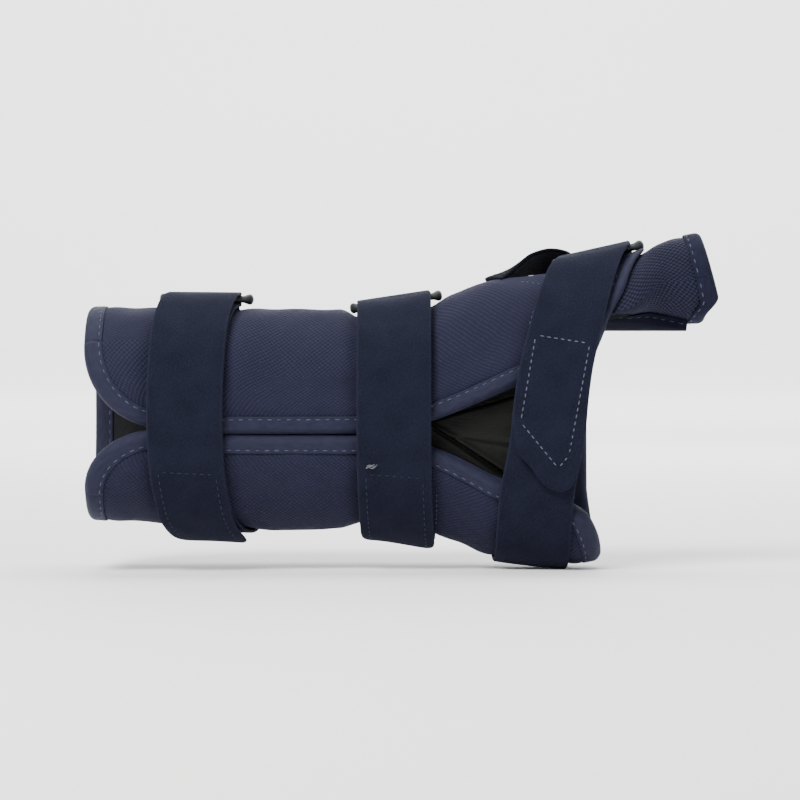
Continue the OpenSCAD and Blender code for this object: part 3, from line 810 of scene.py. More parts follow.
def cloth(outer, rests_on, held="stretched"):
    """Works out the width, length and area of a sheet cut to the size that its own grid has."""
    uv = grid_uv(outer).reshape(-1, 2)
    width, length = (float(round(span, 4)) for span in (uv.max(0) - uv.min(0)) * MM)
    halves = np.cross(outer[1:, 1:] - outer[:-1, :-1], outer[1:, :-1] - outer[:-1, 1:])
    area = float(0.5 * np.linalg.norm(halves, axis=-1).sum() * MM * MM)
    area = min(area, 0.999 * width * length)
    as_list(rests_on)


def on_body(obj, body, slot, *nodes):
    """Puts a piece on a body; nodes are the CAD nodes that it stands for."""
    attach(obj, body)
    if nodes:
        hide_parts(*nodes)
    return obj


def on_root(obj, slot, *nodes):
    return on_body(obj, ROOT, slot, *nodes)


def layer(name, outer, inner, material, slot, node, rests_on, held="stretched", closed=False):
    """A sheet between two grids, on the root body and standing for one CAD node."""
    obj = on_root(slab(name, outer, inner, material, closed), slot, node)
    cloth(outer, rests_on, held)


wrap_pieces = []
for side, node in ((1, "radial_panel"), (-1, "ulnar_panel"), (0, "volar_panel")):
    outer = panels[side].lift(0.0)
    obj = on_root(slab(node + "_knit", outer, panels[side].lift(-1.0), KNIT), "knit", node)
    wrap_pieces.append((obj, outer))


def whole_wrap(lift, follow=0.35):
    """The three parts' grids side by side, every other row, for the layers that run right round."""
    radial, volar, ulnar = (panel.lift(lift, follow) for panel in inside)
    joined = np.concatenate([radial, volar[:, 1:-1], ulnar[:, ::-1]], axis=1)
    return np.concatenate([joined[:-1:2], joined[-1:]])


foam = slab("foam_core_pad", whole_wrap(-1.12, 1.0), whole_wrap(-FOAM_LOW), FOAM)
on_root(foam, "foam", "foam_core")
layer("inner_lining_cloth", whole_wrap(-FOAM_LOW - 0.12), whole_wrap(-LAMINATE_T), LINING,
      "lining", "inner_lining", ["foam_core_pad"])
for obj, outer in wrap_pieces:
    cloth(outer, ["foam_core_pad"])


# ---------------------------------------------------------------- edge tapes
def tape_section(half):
    """A folded tape's section as (distance in from the edge, lift from the laminate's middle).

    half is the laminate's half thickness, one value a station. The points run from one leg's
    end over the fold to the other and back inside."""
    half = half[:, None]
    leg = np.linspace(TAPE_LEG, FOLD_E, 9)[:-1]
    dip = -0.14 * np.exp(-((leg - STITCH_E) / 0.55) ** 2)
    a = np.radians(np.linspace(0, 180, 15))
    loops = []
    for thick in (TAPE_T, 0.0):
        fold = FOLD_E - (2.3 + thick) * np.sin(a) * np.minimum(1, half / 1.6 + 0.35)
        e = np.concatenate([leg * np.ones_like(half), fold, leg[::-1] * np.ones_like(half)], 1)
        up = np.concatenate([1 + 0 * leg, np.cos(a), -1 - 0 * leg])
        shift = np.concatenate([dip, 0 * a, -dip[::-1]])
        loops.append((e, (half + TAPE_GAP + thick) * up + shift))
    (e_out, up_out), (e_in, up_in) = loops
    tip_e, tip_up = (TAPE_LEG + 0.18) * np.ones_like(half), half + TAPE_GAP + TAPE_T / 2
    return (np.concatenate([tip_e, e_out, tip_e, e_in[:, ::-1]], 1),
            np.concatenate([tip_up, up_out, -tip_up, up_in[:, ::-1]], 1))


def tape(name, place, half, middle, material):
    """A folded tape along a route: place(station numbers, e, lift) gives its points."""
    at = np.arange(len(half))
    e, up = tape_section(half)
    length = arc_lengths(place(at, STITCH_E * np.ones(len(half)), middle))
    # Each stitch pulls the tape's legs in a little.
    pucker = 0.09 * np.cos(2 * np.pi * length / STITCH_PITCH)[:, None]
    near = np.exp(-((e - STITCH_E) / 1.3) ** 2) * np.sign(up)
    rings = place(at[:, None], e, up + near * pucker + middle[:, None])
    round_section = np.concatenate([[0], np.cumsum(np.hypot(np.diff(e[0]), np.diff(up[0])))])
    round_section = np.append(round_section, round_section[-1] + 0.3)
    uv = np.stack(np.broadcast_arrays(length[:, None], round_section[None]), -1)
    obj = loft(name, rings, uv, material)
    return obj


def stitch_lines(place, half, middle, both):
    """The running stitches on a tape's outer leg and, with both, on its inner leg."""
    at, e = np.arange(len(half)), STITCH_E * np.ones(len(half))
    lines = []
    for face in (1, -1) if both else (1,):
        lift = middle + face * (half + TAPE_GAP + TAPE_T - 0.2)
        lines.append(faced(place(at, e, lift), place(at, e, lift + face)))
    return lines


def opening_route(side):
    """Stations down a flap's free edge and round its lobe, as (x, lobe angle in degrees)."""
    from_x = 70.0 if side > 0 else 61.8
    x = np.arange(from_x, PROX_X + LOBE_R, -1.5)
    a = np.linspace(0, 90, 26)
    return (np.concatenate([x, PROX_X + LOBE_R * (1 - np.sin(np.radians(a)))]),
            np.concatenate([0 * x, a]))


def opening_place(side):
    xs, angles = opening_route(side)

    def place(at, e, lift):
        x, a = xs[at], np.radians(angles[at])
        height = lobe_height(side, x)
        steep, level = height * np.sin(a), LOBE_R * np.cos(a)
        size = np.hypot(steep, level)
        px = x + e * steep / size
        pz = edges[side](x) + side * (height * (1 - np.cos(a)) + e * level / size)
        turn = turn_at(px, pz)
        return skin(px, turn, lift + EDGE_PRESS * pressed(px, turn))
    return place, len(xs)


def knuckle_place(turns):
    """The radial flap's end, over the thumb sleeve and round to the palm."""
    def place(at, e, lift):
        return hand_skin(knuckle_edge(turns[at]) - e, turns[at], lift)
    return place


def ring_place(turns, ends, inward):
    """An edge that runs round the arm at x = ends, with its cloth on the inward side."""
    def place(at, e, lift):
        x = ends[at] + inward * e
        turn = turns[at]
        return hand_skin(x, turn, lift + EDGE_PRESS * pressed(x, turn))
    return place


def add_tape(name, place, count, *nodes, half=FOLD_MID, middle=-FOLD_MID, both=True,
             material=TAPE):
    """A folded tape with its stitches, over count stations of a route."""
    half, middle = half * np.ones(count), middle * np.ones(count)
    on_root(tape(name, place, half, middle, material), "edge_tape", *nodes)
    sewn = stitches(name + "_stitches", stitch_lines(place, half, middle, both), THREAD)
    on_root(sewn, "edge_tape")


for side in (1, -1):
    place, count = opening_place(side)
    name = SIDE_NAMES[side] + "_edge_tape"
    add_tape(name + "_fold", place, count, name)

first, last = (float(flap_turn(side, PROX_X, LOBE_COLS)) for side in (1, -1))
turns = np.linspace(first - 1, 360 + last + 1, 130)
add_tape("proximal_edge_tape_fold", ring_place(turns, PROX_X * np.ones(130), 1), 130,
         "proximal_edge_tape")

# The palm edge runs from the back of the little finger's side round to the thumb's side.
ulnar_cols = np.linspace(0.4, LAST_COL, 46)
ulnar_ends = ULNAR_DISTAL(ulnar_cols)
ulnar_turns = 360 + flap_turn(-1, ulnar_ends, ulnar_cols)
volar_turns = np.linspace(360 - VOLAR_TURN, VOLAR_TURN, 24)[1:]
turns = np.concatenate([ulnar_turns, volar_turns, np.linspace(VOLAR_TURN, 143, 6)[1:]])
ends = np.concatenate([ulnar_ends, np.full(len(turns) - len(ulnar_ends), PALM_END_X)])
add_tape("palm_edge_tape_fold", ring_place(turns, ends, -1), len(turns), "palm_edge_tape")

turns = np.linspace(20, 143, 90)
alone = ease((turns - 25) / 10) * ease((149 - turns) / 10)
add_tape("knuckle_edge_tape_fold", knuckle_place(turns), 90, half=mix(FOLD_MID, 0.55, alone),
         middle=mix(-FOLD_MID, 0.6, alone), both=False)


# ---------------------------------------------------------------- straps and rings
joints = {j["name"]: j for j in frame["joints"]}


class Bar:
    """A strap's ring, from its two hinge axes: the outer bar's middle and the ring's directions."""

    def __init__(self, name):
        peel, swivel = joints[name + "_strap_peel"], joints[name + "_ring_swivel"]
        self.outer, self.inner = (np.array(joint["pos_m"]) / MM for joint in (peel, swivel))
        self.side = unit(-np.array(peel["axis"]))
        self.out = unit(self.inner - self.outer)
        self.up = np.cross(self.side, self.out)

    def around(self, centre, across, a, r):
        """A point round a bar: a is 0 under it, 90 on its palm side and 180 over it."""
        a, r, across = np.broadcast_arrays(np.radians(a), r, across)
        return (centre + across[..., None] * self.side
                + r[..., None] * (np.sin(a)[..., None] * self.out - np.cos(a)[..., None] * self.up))


bars = {name: Bar(name) for name in ROUTES}


def on_route(name, turn, across, lift):
    """A place over the wrap, across mm to the side of a strap's middle line."""
    return skin(strap_line(name, turn) + across, turn, lift)


def give(turn, across, phase):
    """The slight slackness of a worn strap: its edges lift and fall by a fraction of a mm."""
    edge = np.abs(across) / (STRAP_W / 2)
    return (0.16 * np.sin(np.radians(turn) * 5 + phase) * edge ** 3
            + 0.10 * np.sin(np.radians(turn) * 11 + across * 0.22 + 2 * phase)
            - 0.10 * edge ** 4)


def middle_lengths(rings):
    """The length along a strip at each ring, by the middle of its upper face."""
    return arc_lengths(rings[:, rings.shape[1] // 4])


def piece_of_strip(name, rings, across, material):
    """A strip from its rings and the distance across of each ring's points."""
    uv = np.stack(np.broadcast_arrays(middle_lengths(rings)[:, None], across), -1)
    return loft(name, rings, np.concatenate([uv, uv[:, :1]], 1), material)


def strap_section(left=0.0, right=0.0):
    """The strap's section, with its two edges drawn in by left and right."""
    return strip_section(-STRAP_W / 2 + left, STRAP_W / 2 - right, STRAP_T, flat_steps=18)


def bent_at_ring(obj, node):
    """Bakes a strap's placement into its mesh and hides the CAD node that it replaces."""
    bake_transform(obj)
    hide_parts(node)


def lower_strap(name, phase):
    """The fixed part: over the back of the wrap, up to the ring and half round its bar."""
    bar = bars[name]
    turns = np.linspace(STRAP_FROM, 78, 150)[:, None]
    across, height = strap_section()
    lift = STRAP_GAP + height + give(turns, across, phase) * ease((70 - turns) / 20)
    body = on_route(name, turns, across, lift)
    a = np.linspace(-6, 88, 14)[:, None]
    rings = np.concatenate([body, bar.around(bar.outer, across, a, TURN_R + STRAP_T - height)])
    obj = piece_of_strip(name + "_strap_lower", rings, across, STRAP)
    middle_lengths(rings)[-1]
    bent_at_ring(obj, name + "_strap")


def fold_lift(turn):
    """The free end's lift: high over the bar, coming down onto the strap below."""
    return mix(BAR_LIFT + TURN_R, END_LIFT, ease((84 - turn) / 34))


TIP_RAISED = {"forearm": 1.1, "wrist": 1.3, "hand": 0.0}


def tip_lift(name, turn, across):
    """A worn free end stands off a little towards its tip."""
    return TIP_RAISED[name] * ease((-52 - turn) / 34) * (1 - 0.02 * across)


def free_shape(name):
    """Turns of the free end from the bar to its tip, and the left and right edges there."""
    tip, left, right = TIPS[name]
    turns = np.concatenate([np.linspace(80, tip + 16, 110)[:-1],
                            tip + 16 * np.linspace(1, 0, 26) ** 1.7])
    return turns, curve(left)(turns), curve(right)(turns)


def free_end(name, phase):
    """The free end: from the bar's palm side over it and back along the strap to its tip."""
    bar = bars[name]
    a = np.linspace(92, 180, 14)[:, None]
    across, height = strap_section()
    wrap = bar.around(bar.outer, across, a, TURN_R + height)
    turns, left, right = free_shape(name)
    wide, high = strap_section(left, right)
    turns = turns[:, None]
    lift = (fold_lift(turns) + high + give(turns, wide, phase + 1.3) * ease((74 - turns) / 20)
            + tip_lift(name, turns, wide))
    rings = np.concatenate([wrap, on_route(name, turns, wide, lift)])
    every = np.concatenate([across * np.ones_like(a), wide])
    obj = piece_of_strip(name + "_strap_free_end", rings, every, STRAP)
    middle_lengths(rings)[-1]
    bent_at_ring(obj,
                 name + "_strap_end")


def on_free(name, x, z, lift=0.0):
    """A point on the free end's upper face, at x and z on the back of the splint."""
    high = END_LIFT + STRAP_T + lift
    turn = turn_at(x, z, high)
    return skin(x, turn, fold_lift(turn) + STRAP_T + lift)


def back_line(points, place, step=0.6):
    """A line on the back of the splint through (x, z) points: its places and normals."""
    points = np.array(points, float)
    length = arc_lengths(points)
    at = np.linspace(0, length[-1], max(8, int(length[-1] / step)))
    x, z = np.interp(at, length, points[:, 0]), np.interp(at, length, points[:, 1])
    return faced(place(x, z, 0.0), place(x, z, 0.6))


# Each hook strip's first and last turn, and how far its two edges lie inside the strap's.
PLAIN_INSET = curve([(-90, 4), (0, 4)])
PATCH_EDGES = {"forearm": (-22, -82, PLAIN_INSET, PLAIN_INSET),
               "wrist": (-22, -82, PLAIN_INSET, PLAIN_INSET),
               "hand": (30, -14, curve([(-14, 17), (-10, 12.5), (-5, 7.5), (0, 3.4), (30, 3)]),
                        curve([(-14, 6.5), (-10, 4.4), (0, 3.7), (30, 4)]))}


def hook_patch(name):
    """The moulded hook strip under a free end."""
    start, end, left, right = PATCH_EDGES[name]
    turns = np.linspace(start, end, 60)
    wide, high = strip_section(-STRAP_W / 2 + left(turns), STRAP_W / 2 - right(turns), HOOK_T)
    turns = turns[:, None]
    rings = on_route(name, turns, wide, PATCH_LIFT + high + tip_lift(name, turns, wide))
    obj = on_body(piece_of_strip(name + "_hook_strip", rings, wide, HOOK), name + "_strap_end",
                  "hook", name + "_hook_patch")
    middle_lengths(rings)[-1]


def ring(name):
    """A moulded ring: two round bars joined by rounded cheeks."""
    bar = bars[name]
    near, far, bend = STRAP_W / 2 + 1.7, STRAP_W / 2 + 3.3, 2.4
    left, right, low, high = bend - near, far - bend, bend, RING_REACH - bend
    quarter = np.linspace(0, 90, 9)
    path = []
    for start, centre in ((-180, (left, low)), (-90, (right, low)), (0, (right, high)),
                          (90, (left, high))):
        r = np.radians(start + quarter)
        path.append(centre + bend * np.stack([np.cos(r), np.sin(r)], -1))
    path = np.concatenate(path)
    ahead = unit(np.roll(path, -1, 0) - np.roll(path, 1, 0))
    outward = np.stack([ahead[:, 1], -ahead[:, 0]], -1)
    a = np.radians(whole_turn(16))
    # The cheeks are a little deeper than the bars.
    from_middle = np.abs(path[:, 0] - (far - near) / 2)
    on_cheek = ease((from_middle - (near + far) / 2 + bend) / bend)[:, None]
    up = (WIRE_R + 0.7 * on_cheek) * np.sin(a)
    place = path[:, None] + outward[:, None] * WIRE_R * np.cos(a)[:, None]
    rings = (bar.outer + place[..., :1] * bar.side + place[..., 1:] * bar.out
             + up[..., None] * bar.up)
    uv = np.zeros((len(path) + 1, len(a) + 1, 2))
    on_body(loft(name + "_ring_loop", rings, uv, PLASTIC, closed=True), name + "_ring",
            "ring_plastic", name + "_ring")


TAB_NEAR, TAB_W = 121, STRAP_W - 2.4
TAB_TOP = STRAP_GAP + 2 * STRAP_T + 0.1
SMALL_STITCH = {"pitch": 2.6, "length": 1.9}


def ring_tab(name):
    """The webbing loop that holds a ring: under its inner bar, round it and back, sewn down."""
    bar = bars[name]
    across, height = strip_section(-TAB_W / 2, TAB_W / 2, STRAP_T, flat_steps=16)
    outside = STRAP_T - height
    turns = np.linspace(TAB_LAST[name], TAB_NEAR, 12)[:, None]
    low = on_route(name, turns, across, STRAP_GAP + outside)
    a = np.linspace(-20, -225, 22)[:, None]
    wrap = bar.around(bar.inner, across, a, TURN_R + outside)
    high = on_route(name, turns[::-1], across, TAB_TOP - outside)
    rings = np.concatenate([low, wrap, high])
    obj = piece_of_strip(name + "_ring_tab_loop", rings, across, WEBBING)
    on_root(obj, "webbing", name + "_ring_tab")
    middle_lengths(rings)[-1]
    # A sewn box with a cross, which holds the loop's two ends to the wrap.
    near, far, wide = TAB_NEAR + 4, TAB_LAST[name] - 1.5, TAB_W / 2 - 2.5
    box_path = [(near, -wide), (near, wide), (far, wide), (far, -wide), (near, -wide)]
    lines = []
    for path in (box_path, [(near, -wide), (far, wide)], [(near, wide), (far, -wide)]):
        path = np.array(path, float)
        t = np.linspace(0, len(path) - 1, 40 * (len(path) - 1))
        turn = np.interp(t, np.arange(len(path)), path[:, 0])
        side = np.interp(t, np.arange(len(path)), path[:, 1])
        lines.append(faced(*(on_route(name, turn, side, TAB_TOP + k) for k in (-0.05, 0.6))))
    on_root(stitches(name + "_ring_tab_stitches", lines, DARK_THREAD, radius=0.2, **SMALL_STITCH),
            "webbing")


for k, name in enumerate(ROUTES):
    lower_strap(name, 0.7 * k)
    free_end(name, 1.1 * k)
    hook_patch(name)
    ring(name)
    ring_tab(name)

# The hand strap's hook patch shows as a five-sided row of pale stitches.
PATCH_OUTLINE = [(51, 31.2), (70.4, 28.2), (62.9, -12.1), (59.1, -16.8), (45.5, -0.2), (51, 31.2)]
outline = [back_line(PATCH_OUTLINE[k:k + 2], lambda x, z, h: on_free("hand", x, z, h - 0.1))
           for k in range(len(PATCH_OUTLINE) - 1)]
on_body(stitches("hand_patch_stitches", outline, PATCH_THREAD, pitch=2.5, length=1.7, radius=0.2),
        "hand_strap_end", "strap_loop")


def on_panel(x, z, lift):
    """A place on the knit of a flap, at x and z on the back of the splint."""
    turn = turn_at(x, z)
    return skin(x, turn, lift + pressed(x, turn) + rumple(x, turn) + strap_creases(x, turn))


# A stitched corner on the wrap by the hand strap, and a seam down beside the wrist strap.
corner = [back_line(points, on_panel) for points in ([(45.5, 50.4), (53.9, 49.4)],
                                                     [(53.7, 49.2), (48.6, 34)])]
on_root(stitches("hand_corner_stitches", corner, THREAD, pitch=2.1, length=1.4, radius=0.18),
        "knit")
seam = [back_line([(15.4, -24), (15.2, -38.5)], on_panel)]
on_root(stitches("wrist_seam_stitches", seam, THREAD, pitch=2.1, length=1.3, radius=0.16), "knit")

# The other two straps carry a faint cross seam and side seams where their hook strips start.
for name in ("forearm", "wrist"):
    start, end, left, right = PATCH_EDGES[name]
    corners = [(end + 3, 1), (start, 1), (start, -1), (end + 3, -1)]
    lines = []
    for (t0, s0), (t1, s1) in zip(corners, corners[1:]):
        turn, side = np.linspace(t0, t1, 90), np.linspace(s0, s1, 90) * (STRAP_W / 2 - 3.2)
        face_lift = END_LIFT + STRAP_T + tip_lift(name, turn, side)
        lines.append(faced(*(on_route(name, turn, side, face_lift + k) for k in (-0.12, 0.5))))
    on_body(stitches(name + "_patch_stitches", lines, DARK_THREAD, pitch=2.7, length=1.8,
                     radius=0.2), name + "_strap_end", "strap_loop")


# ---------------------------------------------------------------- the thumb sleeve
def thumb_start(a):
    return THUMB_X + WEB_REACH * np.maximum(0, -np.sin(np.radians(a)))


def thumb_end(a):
    """The sleeve's end: slanted, and cut back towards the web of the thumb."""
    rise = np.sin(np.radians(a))
    return THUMB_END_X - THUMB_END_SLANT * rise - 6 * ease((-rise - 0.5) / 0.5)


def sleeve_lift(x, a):
    """The sleeve lies low where the flap covers it, and its cloth is a little uneven beyond."""
    covered = np.where(a <= 180, ease((knuckle_edge(turn_over_thumb(a)) + 6 - x) / 6), 0)
    r = np.radians(a)
    folds = (0.35 * np.sin(3 * r + 0.11 * x) * ease((x - OVAL_FROM) / 10)
             + 0.22 * np.sin(0.55 * x + 2 * np.sin(r)) * ease((112 - x) / 8)
             + 0.15 * np.sin(7 * r + 0.2 * x))
    return mix(folds, -0.7, covered)


def sleeve_grid(lift, follow):
    """A layer of the sleeve; follow is how far it takes part in the outer face's shape."""
    a = whole_turn(96)
    x = mix(thumb_start(a), thumb_end(a), np.linspace(0, 1, 64)[:, None])
    e = thumb_end(a) - x
    shaped = lift + follow * sleeve_lift(x, a)
    shaped = shaped - 0.35 * follow * np.exp(-((e - STITCH_E) / 1.2) ** 2)
    return thumb_at(x, a, squeezed(shaped, e, -THUMB_T / 2))


layer("thumb_sleeve_mesh", sleeve_grid(0.0, 1.0), sleeve_grid(-1.0, 1.0), OPEN_MESH, "open_mesh",
      "thumb_sleeve", ["thumb_sleeve_lining"], closed=True)
layer("thumb_sleeve_lining", sleeve_grid(-THUMB_T + 0.8, 0.3), sleeve_grid(-THUMB_T, 0.3), LINING,
      "lining", "thumb_lining", ["thumb_sleeve_mesh"], closed=True)


def thumb_edge_place(at, e, lift):
    a = at * 360.0 / 120
    return thumb_at(thumb_end(a) - e, a, lift)


add_tape("thumb_end_tape_fold", thumb_edge_place, 121, "thumb_end_tape", half=THUMB_T / 2,
         middle=-THUMB_T / 2, material=PAINTED_SHADE_TAPE)


# The web gusset: a second layer that hangs in a fold under the thumb's base.
web_x, web_k = np.linspace(WEB_FROM, WEB_TO, 46)[:, None], np.linspace(0, 1, 44)[None]
web_a = mix(206, mix(326, 297, (web_x - WEB_FROM) / (WEB_TO - WEB_FROM)), web_k)


def web_face(extra):
    """The gusset lies on the sleeve along its sewn sides and hangs clear of it in between."""
    clear = ease(web_k / 0.25) * ease((1 - web_k) / 0.2)
    hang = np.maximum(0, thumb_low(web_x) - 34.2) * np.exp(-((web_a - 263) / 32) ** 2)
    lift = mix(0.1 + sleeve_lift(web_x, web_a), 0.95 + hang, clear)
    return thumb_at(web_x, web_a, lift + extra)


layer("thumb_web_gusset_cloth", web_face(0.9), web_face(0.0), PAINTED_SHADE_GUSSET, "edge_tape",
      "thumb_web_gusset", ["thumb_sleeve_mesh"], held="draped")
rim = faced(web_face(0.9)[:, -4], web_face(1.5)[:, -4])
on_root(stitches("thumb_web_stitches", [rim], DARK_THREAD, radius=0.2), "edge_tape")

# ---------------------------------------------------------------- the band over the thumb's base
BAND = np.array([(36, 1.4, 52.1), (38.2, 3.5, 53.7), (41.4, 6.4, 56.4), (48, 11, 61.2),
                 (55, 15, 62.8), (61, 18.5, 61.8), (65, 21.8, 58), (66.4, 23.6, 52),
                 (65.8, 24.5, 45), (64.2, 24.7, 38), (61.4, 24.3, 33), (58.4, 23.5, 28.4)])
BAND_W, BAND_T = 16.5, 1.6
station = arc_lengths(BAND)
fine = np.linspace(0, station[-1], 90)
line = smooth_path(BAND, station, fine)
ahead = unit(np.gradient(line, axis=0))
# Between its sewn ends the band leans over, so that its underside shows from the back, and it
# turns flat again where it is sewn to the palm side.
share = fine / fine[-1]
lean = ease(share / 0.28) * ease((0.85 - share) / 0.3)
flatten = ease((share - 0.72) / 0.26)
side = unit(np.stack([-np.ones_like(fine), mix(2.0, 0.12, flatten), -1.5 * lean - 0.55 * flatten],
                     -1))
up = unit(np.cross(ahead, side))
width = BAND_W / 2 * mix(0.8, 1.0, lean)
across, height = strip_section(-width, width, BAND_T, flat_steps=10)
curl = 0.5 * (across / (BAND_W / 2)) ** 2
line[:, 2] -= 3.7 * lean
rings = (line[:, None] + across[..., None] * side[:, None]
         + (height - BAND_T - curl)[..., None] * up[:, None])
obj = on_root(piece_of_strip("thumb_anchor_band_webbing", rings, across, PAINTED_SHADE_WEBBING), "webbing",
              "thumb_anchor_band")
lines = []
for span in (slice(2, 14), slice(-14, -2)):
    for edge in (-4.2, 4.2):
        face = line[span] + edge * side[span] - 0.28 * up[span]
        lines.append((face, up[span]))
on_root(stitches("thumb_anchor_stitches", lines, DARK_THREAD, radius=0.18, **SMALL_STITCH),
        "webbing")

# ---------------------------------------------------------------- stays and the pocket
STAY_W, STAY_T, STAY_LIFT, STAY_FROM, STAY_TO = 24, 1.6, 1.3, -103, 53
POCKET_FROM, POCKET_TO, POCKET_T = -101, 55, 0.9
POCKET_WALL, POCKET_RIM, POCKET_LOW = 12.4, 18.4, 0.3
POCKET_SEAM = POCKET_WALL + 3.2
POCKET_HIGH = STAY_LIFT + STAY_T + 0.4


def stay_bar():
    """The palm stay: a bowed flat bar with half-round ends, rounded along its edges."""
    r = STAY_W / 2
    a = np.radians(np.linspace(4, 90, 16))
    nose = np.stack([r * (1 - np.cos(a)), r * np.sin(a)], -1)
    x = np.concatenate([STAY_FROM + nose[:, 0], np.linspace(STAY_FROM + r, STAY_TO - r, 60)[1:-1],
                        (STAY_TO - nose[:, 0])[::-1]])
    half = np.concatenate([nose[:, 1], np.full(58, r), nose[::-1, 1]])
    z, h = strip_section(-half, half, STAY_T, flat_steps=8, arc_steps=4)
    rings = np.stack([x[:, None] * np.ones_like(z), bow_y(x)[:, None] + STAY_LIFT + h, z], -1)
    on_body(piece_of_strip("palm_stay_bar", rings, z, METAL), "palm_stay", "stay_metal",
            "volar_stay")


def palm_skin_y(x, z):
    return skin(x, 180 - turn_at(x, z))[..., 1]


def pocket():
    """The sewn pocket over the palm stay, open at the forearm end."""
    x = np.concatenate([np.linspace(POCKET_FROM, POCKET_TO - 2, 108),
                        np.linspace(POCKET_TO - 1.7, POCKET_TO, 7)])[:, None]
    z = np.concatenate([np.linspace(-POCKET_RIM, -POCKET_WALL - 1.2, 8),
                        np.linspace(-POCKET_WALL - 1.1, -POCKET_WALL + 0.9, 8),
                        np.linspace(-POCKET_WALL + 1.6, POCKET_WALL - 1.6, 22),
                        np.linspace(POCKET_WALL - 0.9, POCKET_WALL + 1.1, 8),
                        np.linspace(POCKET_WALL + 1.2, POCKET_RIM, 8)])[None]
    edge = np.abs(z)

    def face(out):
        extra = POCKET_T if out else 0.0
        rise = ease(POCKET_WALL + extra + 0.15 - edge) * ease((POCKET_TO + 0.2 - x) / 1.8)
        y = mix(palm_skin_y(x, z) + POCKET_LOW, bow_y(x) + POCKET_HIGH, rise) + extra
        if out:
            slack = np.sin(0.09 * x + 1) * np.sin(0.21 * z)
            seam = np.exp(-((edge - POCKET_SEAM) / 0.8) ** 2)
            y = y + 0.22 * slack * rise + 0.12 * np.sin(0.5 * x) * (1 - rise) - 0.3 * seam
        return np.stack(np.broadcast_arrays(x, y, z), -1)

    outer = face(True)
    layer("palm_stay_pocket_cloth", outer, face(False), KNIT, "knit", "volar_stay_pocket",
          ["volar_panel_knit"])
    lines = []
    x_line = np.linspace(POCKET_FROM + 1, POCKET_TO - 2, 200)
    palmward = np.array([[0, 1.0, 0]])
    for side_z in (-POCKET_SEAM, POCKET_SEAM):
        y = palm_skin_y(x_line, side_z) + POCKET_LOW + POCKET_T - 0.15
        seam_line = np.stack([x_line, y, np.full(200, side_z)], -1)
        lines.append((seam_line, palmward * np.ones((200, 1))))
    z_line = np.linspace(-POCKET_SEAM, POCKET_SEAM, 80)
    for end_x in (POCKET_FROM + 4, POCKET_TO - 2.5):
        i = int(np.argmin(np.abs(x[:, 0] - end_x)))
        y = np.interp(z_line, z[0], outer[i, :, 1]) - 0.1
        lines.append((np.stack([np.full(80, x[i, 0]), y, z_line], -1), palmward * np.ones((80, 1))))
    on_root(stitches("palm_stay_pocket_stitches", lines, THREAD), "knit")


stay_bar()
pocket()
thumb_stay_materials = frame["nodes"]["thumb_stay"].data.materials
thumb_stay_materials.clear()
thumb_stay_materials.append(METAL)

# ---------------------------------------------------------------- the satin tongue
TONGUE_LAP, TONGUE_LIFT, TONGUE_T = 10, LAMINATE_T + 1.3, 0.8
# Each crease as its start and end (x, z), and how deep it is.
CREASES = [((14, 0.5), (44, 11.5), 2.6), ((14, -3.0), (40, -23), 1.9), ((20, -7), (46, -12), 0.5),
           ((17, 2.5), (30, 10), 0.6)]


def tongue():
    """The tongue under the opening, drawn into creases that fan out from the wrist strap."""
    x = np.linspace(-18, 63, 120)[:, None]
    f = np.linspace(0, 1, 80)[None]
    low, high = edges[-1](x) - TONGUE_LAP, edges[1](x) + TONGUE_LAP
    z = mix(low, high, f)
    lift = 0.35 * np.sin(0.11 * x + 0.16 * z) + 0.12 * np.sin(0.5 * z + 0.2 * x)
    for (x0, z0), (x1, z1), deep in CREASES:
        run = np.hypot(x1 - x0, z1 - z0)
        ux, uz = (x1 - x0) / run, (z1 - z0) / run
        t = (x - x0) * ux + (z - z0) * uz
        d = (x - x0) * -uz + (z - z0) * ux
        grow = ease((t + 4) / 6) * ease((run + 12 - t) / 16)
        spread = 0.8 + 0.03 * np.clip(t, 0, 40)
        lift = lift + deep * grow * (0.9 * np.exp(-((d - 1.3 * spread) / spread) ** 2)
                                     - np.exp(-(d / (0.8 * spread)) ** 2))

    def face(extra):
        return skin(x * np.ones_like(f), turn_at(x, z), -TONGUE_LIFT + lift + extra)

    layer("dorsal_tongue_satin", face(0.0), face(-TONGUE_T), SATIN, "satin", "dorsal_tongue",
          ["inner_lining_cloth"])


tongue()

# A loose end of thread on the wrist strap's cross seam: strands as (x, z, height).
TAIL = [[(-10.2, -16.8, 0.3), (-9.2, -16.4, 0.9), (-8.2, -15.9, 1.2), (-7.2, -15.5, 0.7)],
        [(-8.9, -16.6, 0.3), (-8.0, -16.9, 1.0), (-7.0, -16.3, 1.3), (-6.3, -15.6, 0.6)],
        [(-9.9, -16.1, 0.2), (-8.9, -15.7, 0.7), (-7.9, -16.3, 1.0), (-6.9, -16.1, 0.3)]]
TAIL_R = 0.2


def thread_strand(strand):
    """One strand of the loose thread, as a thin tube."""
    x, z, height = smooth_path(strand, range(len(strand)), np.linspace(0, len(strand) - 1, 22)).T
    middle = on_free("wrist", x, z) + np.stack([0 * height, -height, 0 * height], -1)
    ahead = unit(np.gradient(middle, axis=0))
    side = unit(np.cross(ahead, [0.0, 1.0, 0.0]))
    up = np.cross(side, ahead)
    a = np.radians(whole_turn(8))[None, :, None]
    tube = middle[:, None] + TAIL_R * (np.cos(a) * side[:, None] + np.sin(a) * up[:, None])
    return loft("tail_part", tube, np.zeros((23, 9, 2)), PALE_THREAD)


strands = [thread_strand(strand) for strand in TAIL]
bm = bmesh.new()
for strand in strands:
    bm.from_mesh(strand.data)
bm.to_mesh(strands[0].data)
bm.free()
for strand in strands[1:]:
    bpy.data.objects.remove(strand)
strands[0].name = "wrist_strap_thread_tail"
on_body(strands[0], "wrist_strap_end", "strap_loop")

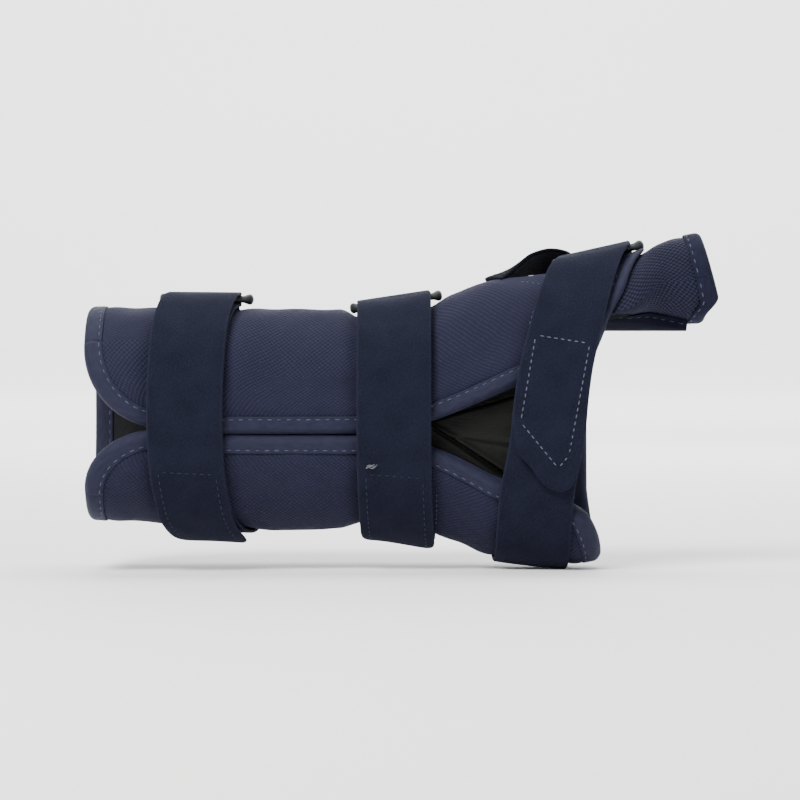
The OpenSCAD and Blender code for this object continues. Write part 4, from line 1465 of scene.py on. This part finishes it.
# ---------------------------------------------------------------- stage, light and camera
FLOOR_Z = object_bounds()[0][2]
# The floor's profile as (y, z over the floor), in metres: flat, then curving up into a backdrop.
SWEEP = [(-4.0, 0.0), (2.7, 0.0), (3.1, 0.03), (3.4, 0.15), (3.6, 0.38), (3.7, 0.7), (3.73, 3.6)]
sweep = smooth_path(SWEEP, range(len(SWEEP)), np.linspace(0, len(SWEEP) - 1, 60))
verts = [(x, y, z + FLOOR_Z) for y, z in sweep for x in (-5.0, 5.0)]
faces = [(2 * k, 2 * k + 1, 2 * k + 3, 2 * k + 2) for k in range(len(sweep) - 1)]
mesh = bpy.data.meshes.new("floor")
mesh.from_pydata(verts, [], faces)
mesh.polygons.foreach_set("use_smooth", [True] * len(mesh.polygons))
s = Shader("floor")
mesh.materials.append(s.finish((0.88, 0.88, 0.88), 0.7, Specular_IOR_Level=0.2))
floor = bpy.data.objects.new("floor", mesh)
bpy.context.scene.collection.objects.link(floor)


def area_light(name, place, target, size, power, colour=(1, 1, 1)):
    light = bpy.data.lights.new(name, "AREA")
    light.shape, light.size, light.size_y = "RECTANGLE", size[0], size[1]
    light.energy, light.color = power, colour
    obj = bpy.data.objects.new(name, light)
    bpy.context.scene.collection.objects.link(obj)
    obj.location = place
    direction = np.array(target, float) - np.array(place, float)
    obj.rotation_euler = Vector(direction).to_track_quat("-Z", "Y").to_euler()


area_light("key", (-0.45, -0.75, 0.95), (0, 0, 0.0), (0.55, 0.55), 30.0, (1.0, 0.985, 0.96))
area_light("fill", (0.95, -0.7, 0.25), (0, 0, 0.0), (0.9, 0.9), 2.5, (0.95, 0.97, 1.0))
area_light("top", (0.1, 0.35, 1.05), (0, 0, 0.0), (1.0, 0.6), 14.0)
area_light("back", (0.3, 1.0, 0.5), (0, 0, 0.0), (1.2, 0.6), 6.0)
area_light("backdrop", (0.0, 1.3, 1.9), (0, 3.7, 0.4), (3.6, 0.8), 240.0)

world = bpy.data.worlds.new("studio")
world.use_nodes = True
world.node_tree.nodes["Background"].inputs["Color"].default_value = (0.93, 0.95, 1.0, 1.0)
world.node_tree.nodes["Background"].inputs["Strength"].default_value = 0.45
bpy.context.scene.world = world

camera_data = bpy.data.cameras.new("camera")
camera_data.lens, camera_data.sensor_width = 165, 36
camera = bpy.data.objects.new("camera", camera_data)
bpy.context.scene.collection.objects.link(camera)
CAMERA_AT, LOOK_AT = (0.002, -1.35, 0.045), (0.002, 0.0, 0.007)
camera.location = CAMERA_AT
camera.rotation_euler = (Vector(LOOK_AT) - Vector(CAMERA_AT)).to_track_quat("-Z", "Y").to_euler()
bpy.context.scene.camera = camera

bpy.context.view_layer.update()
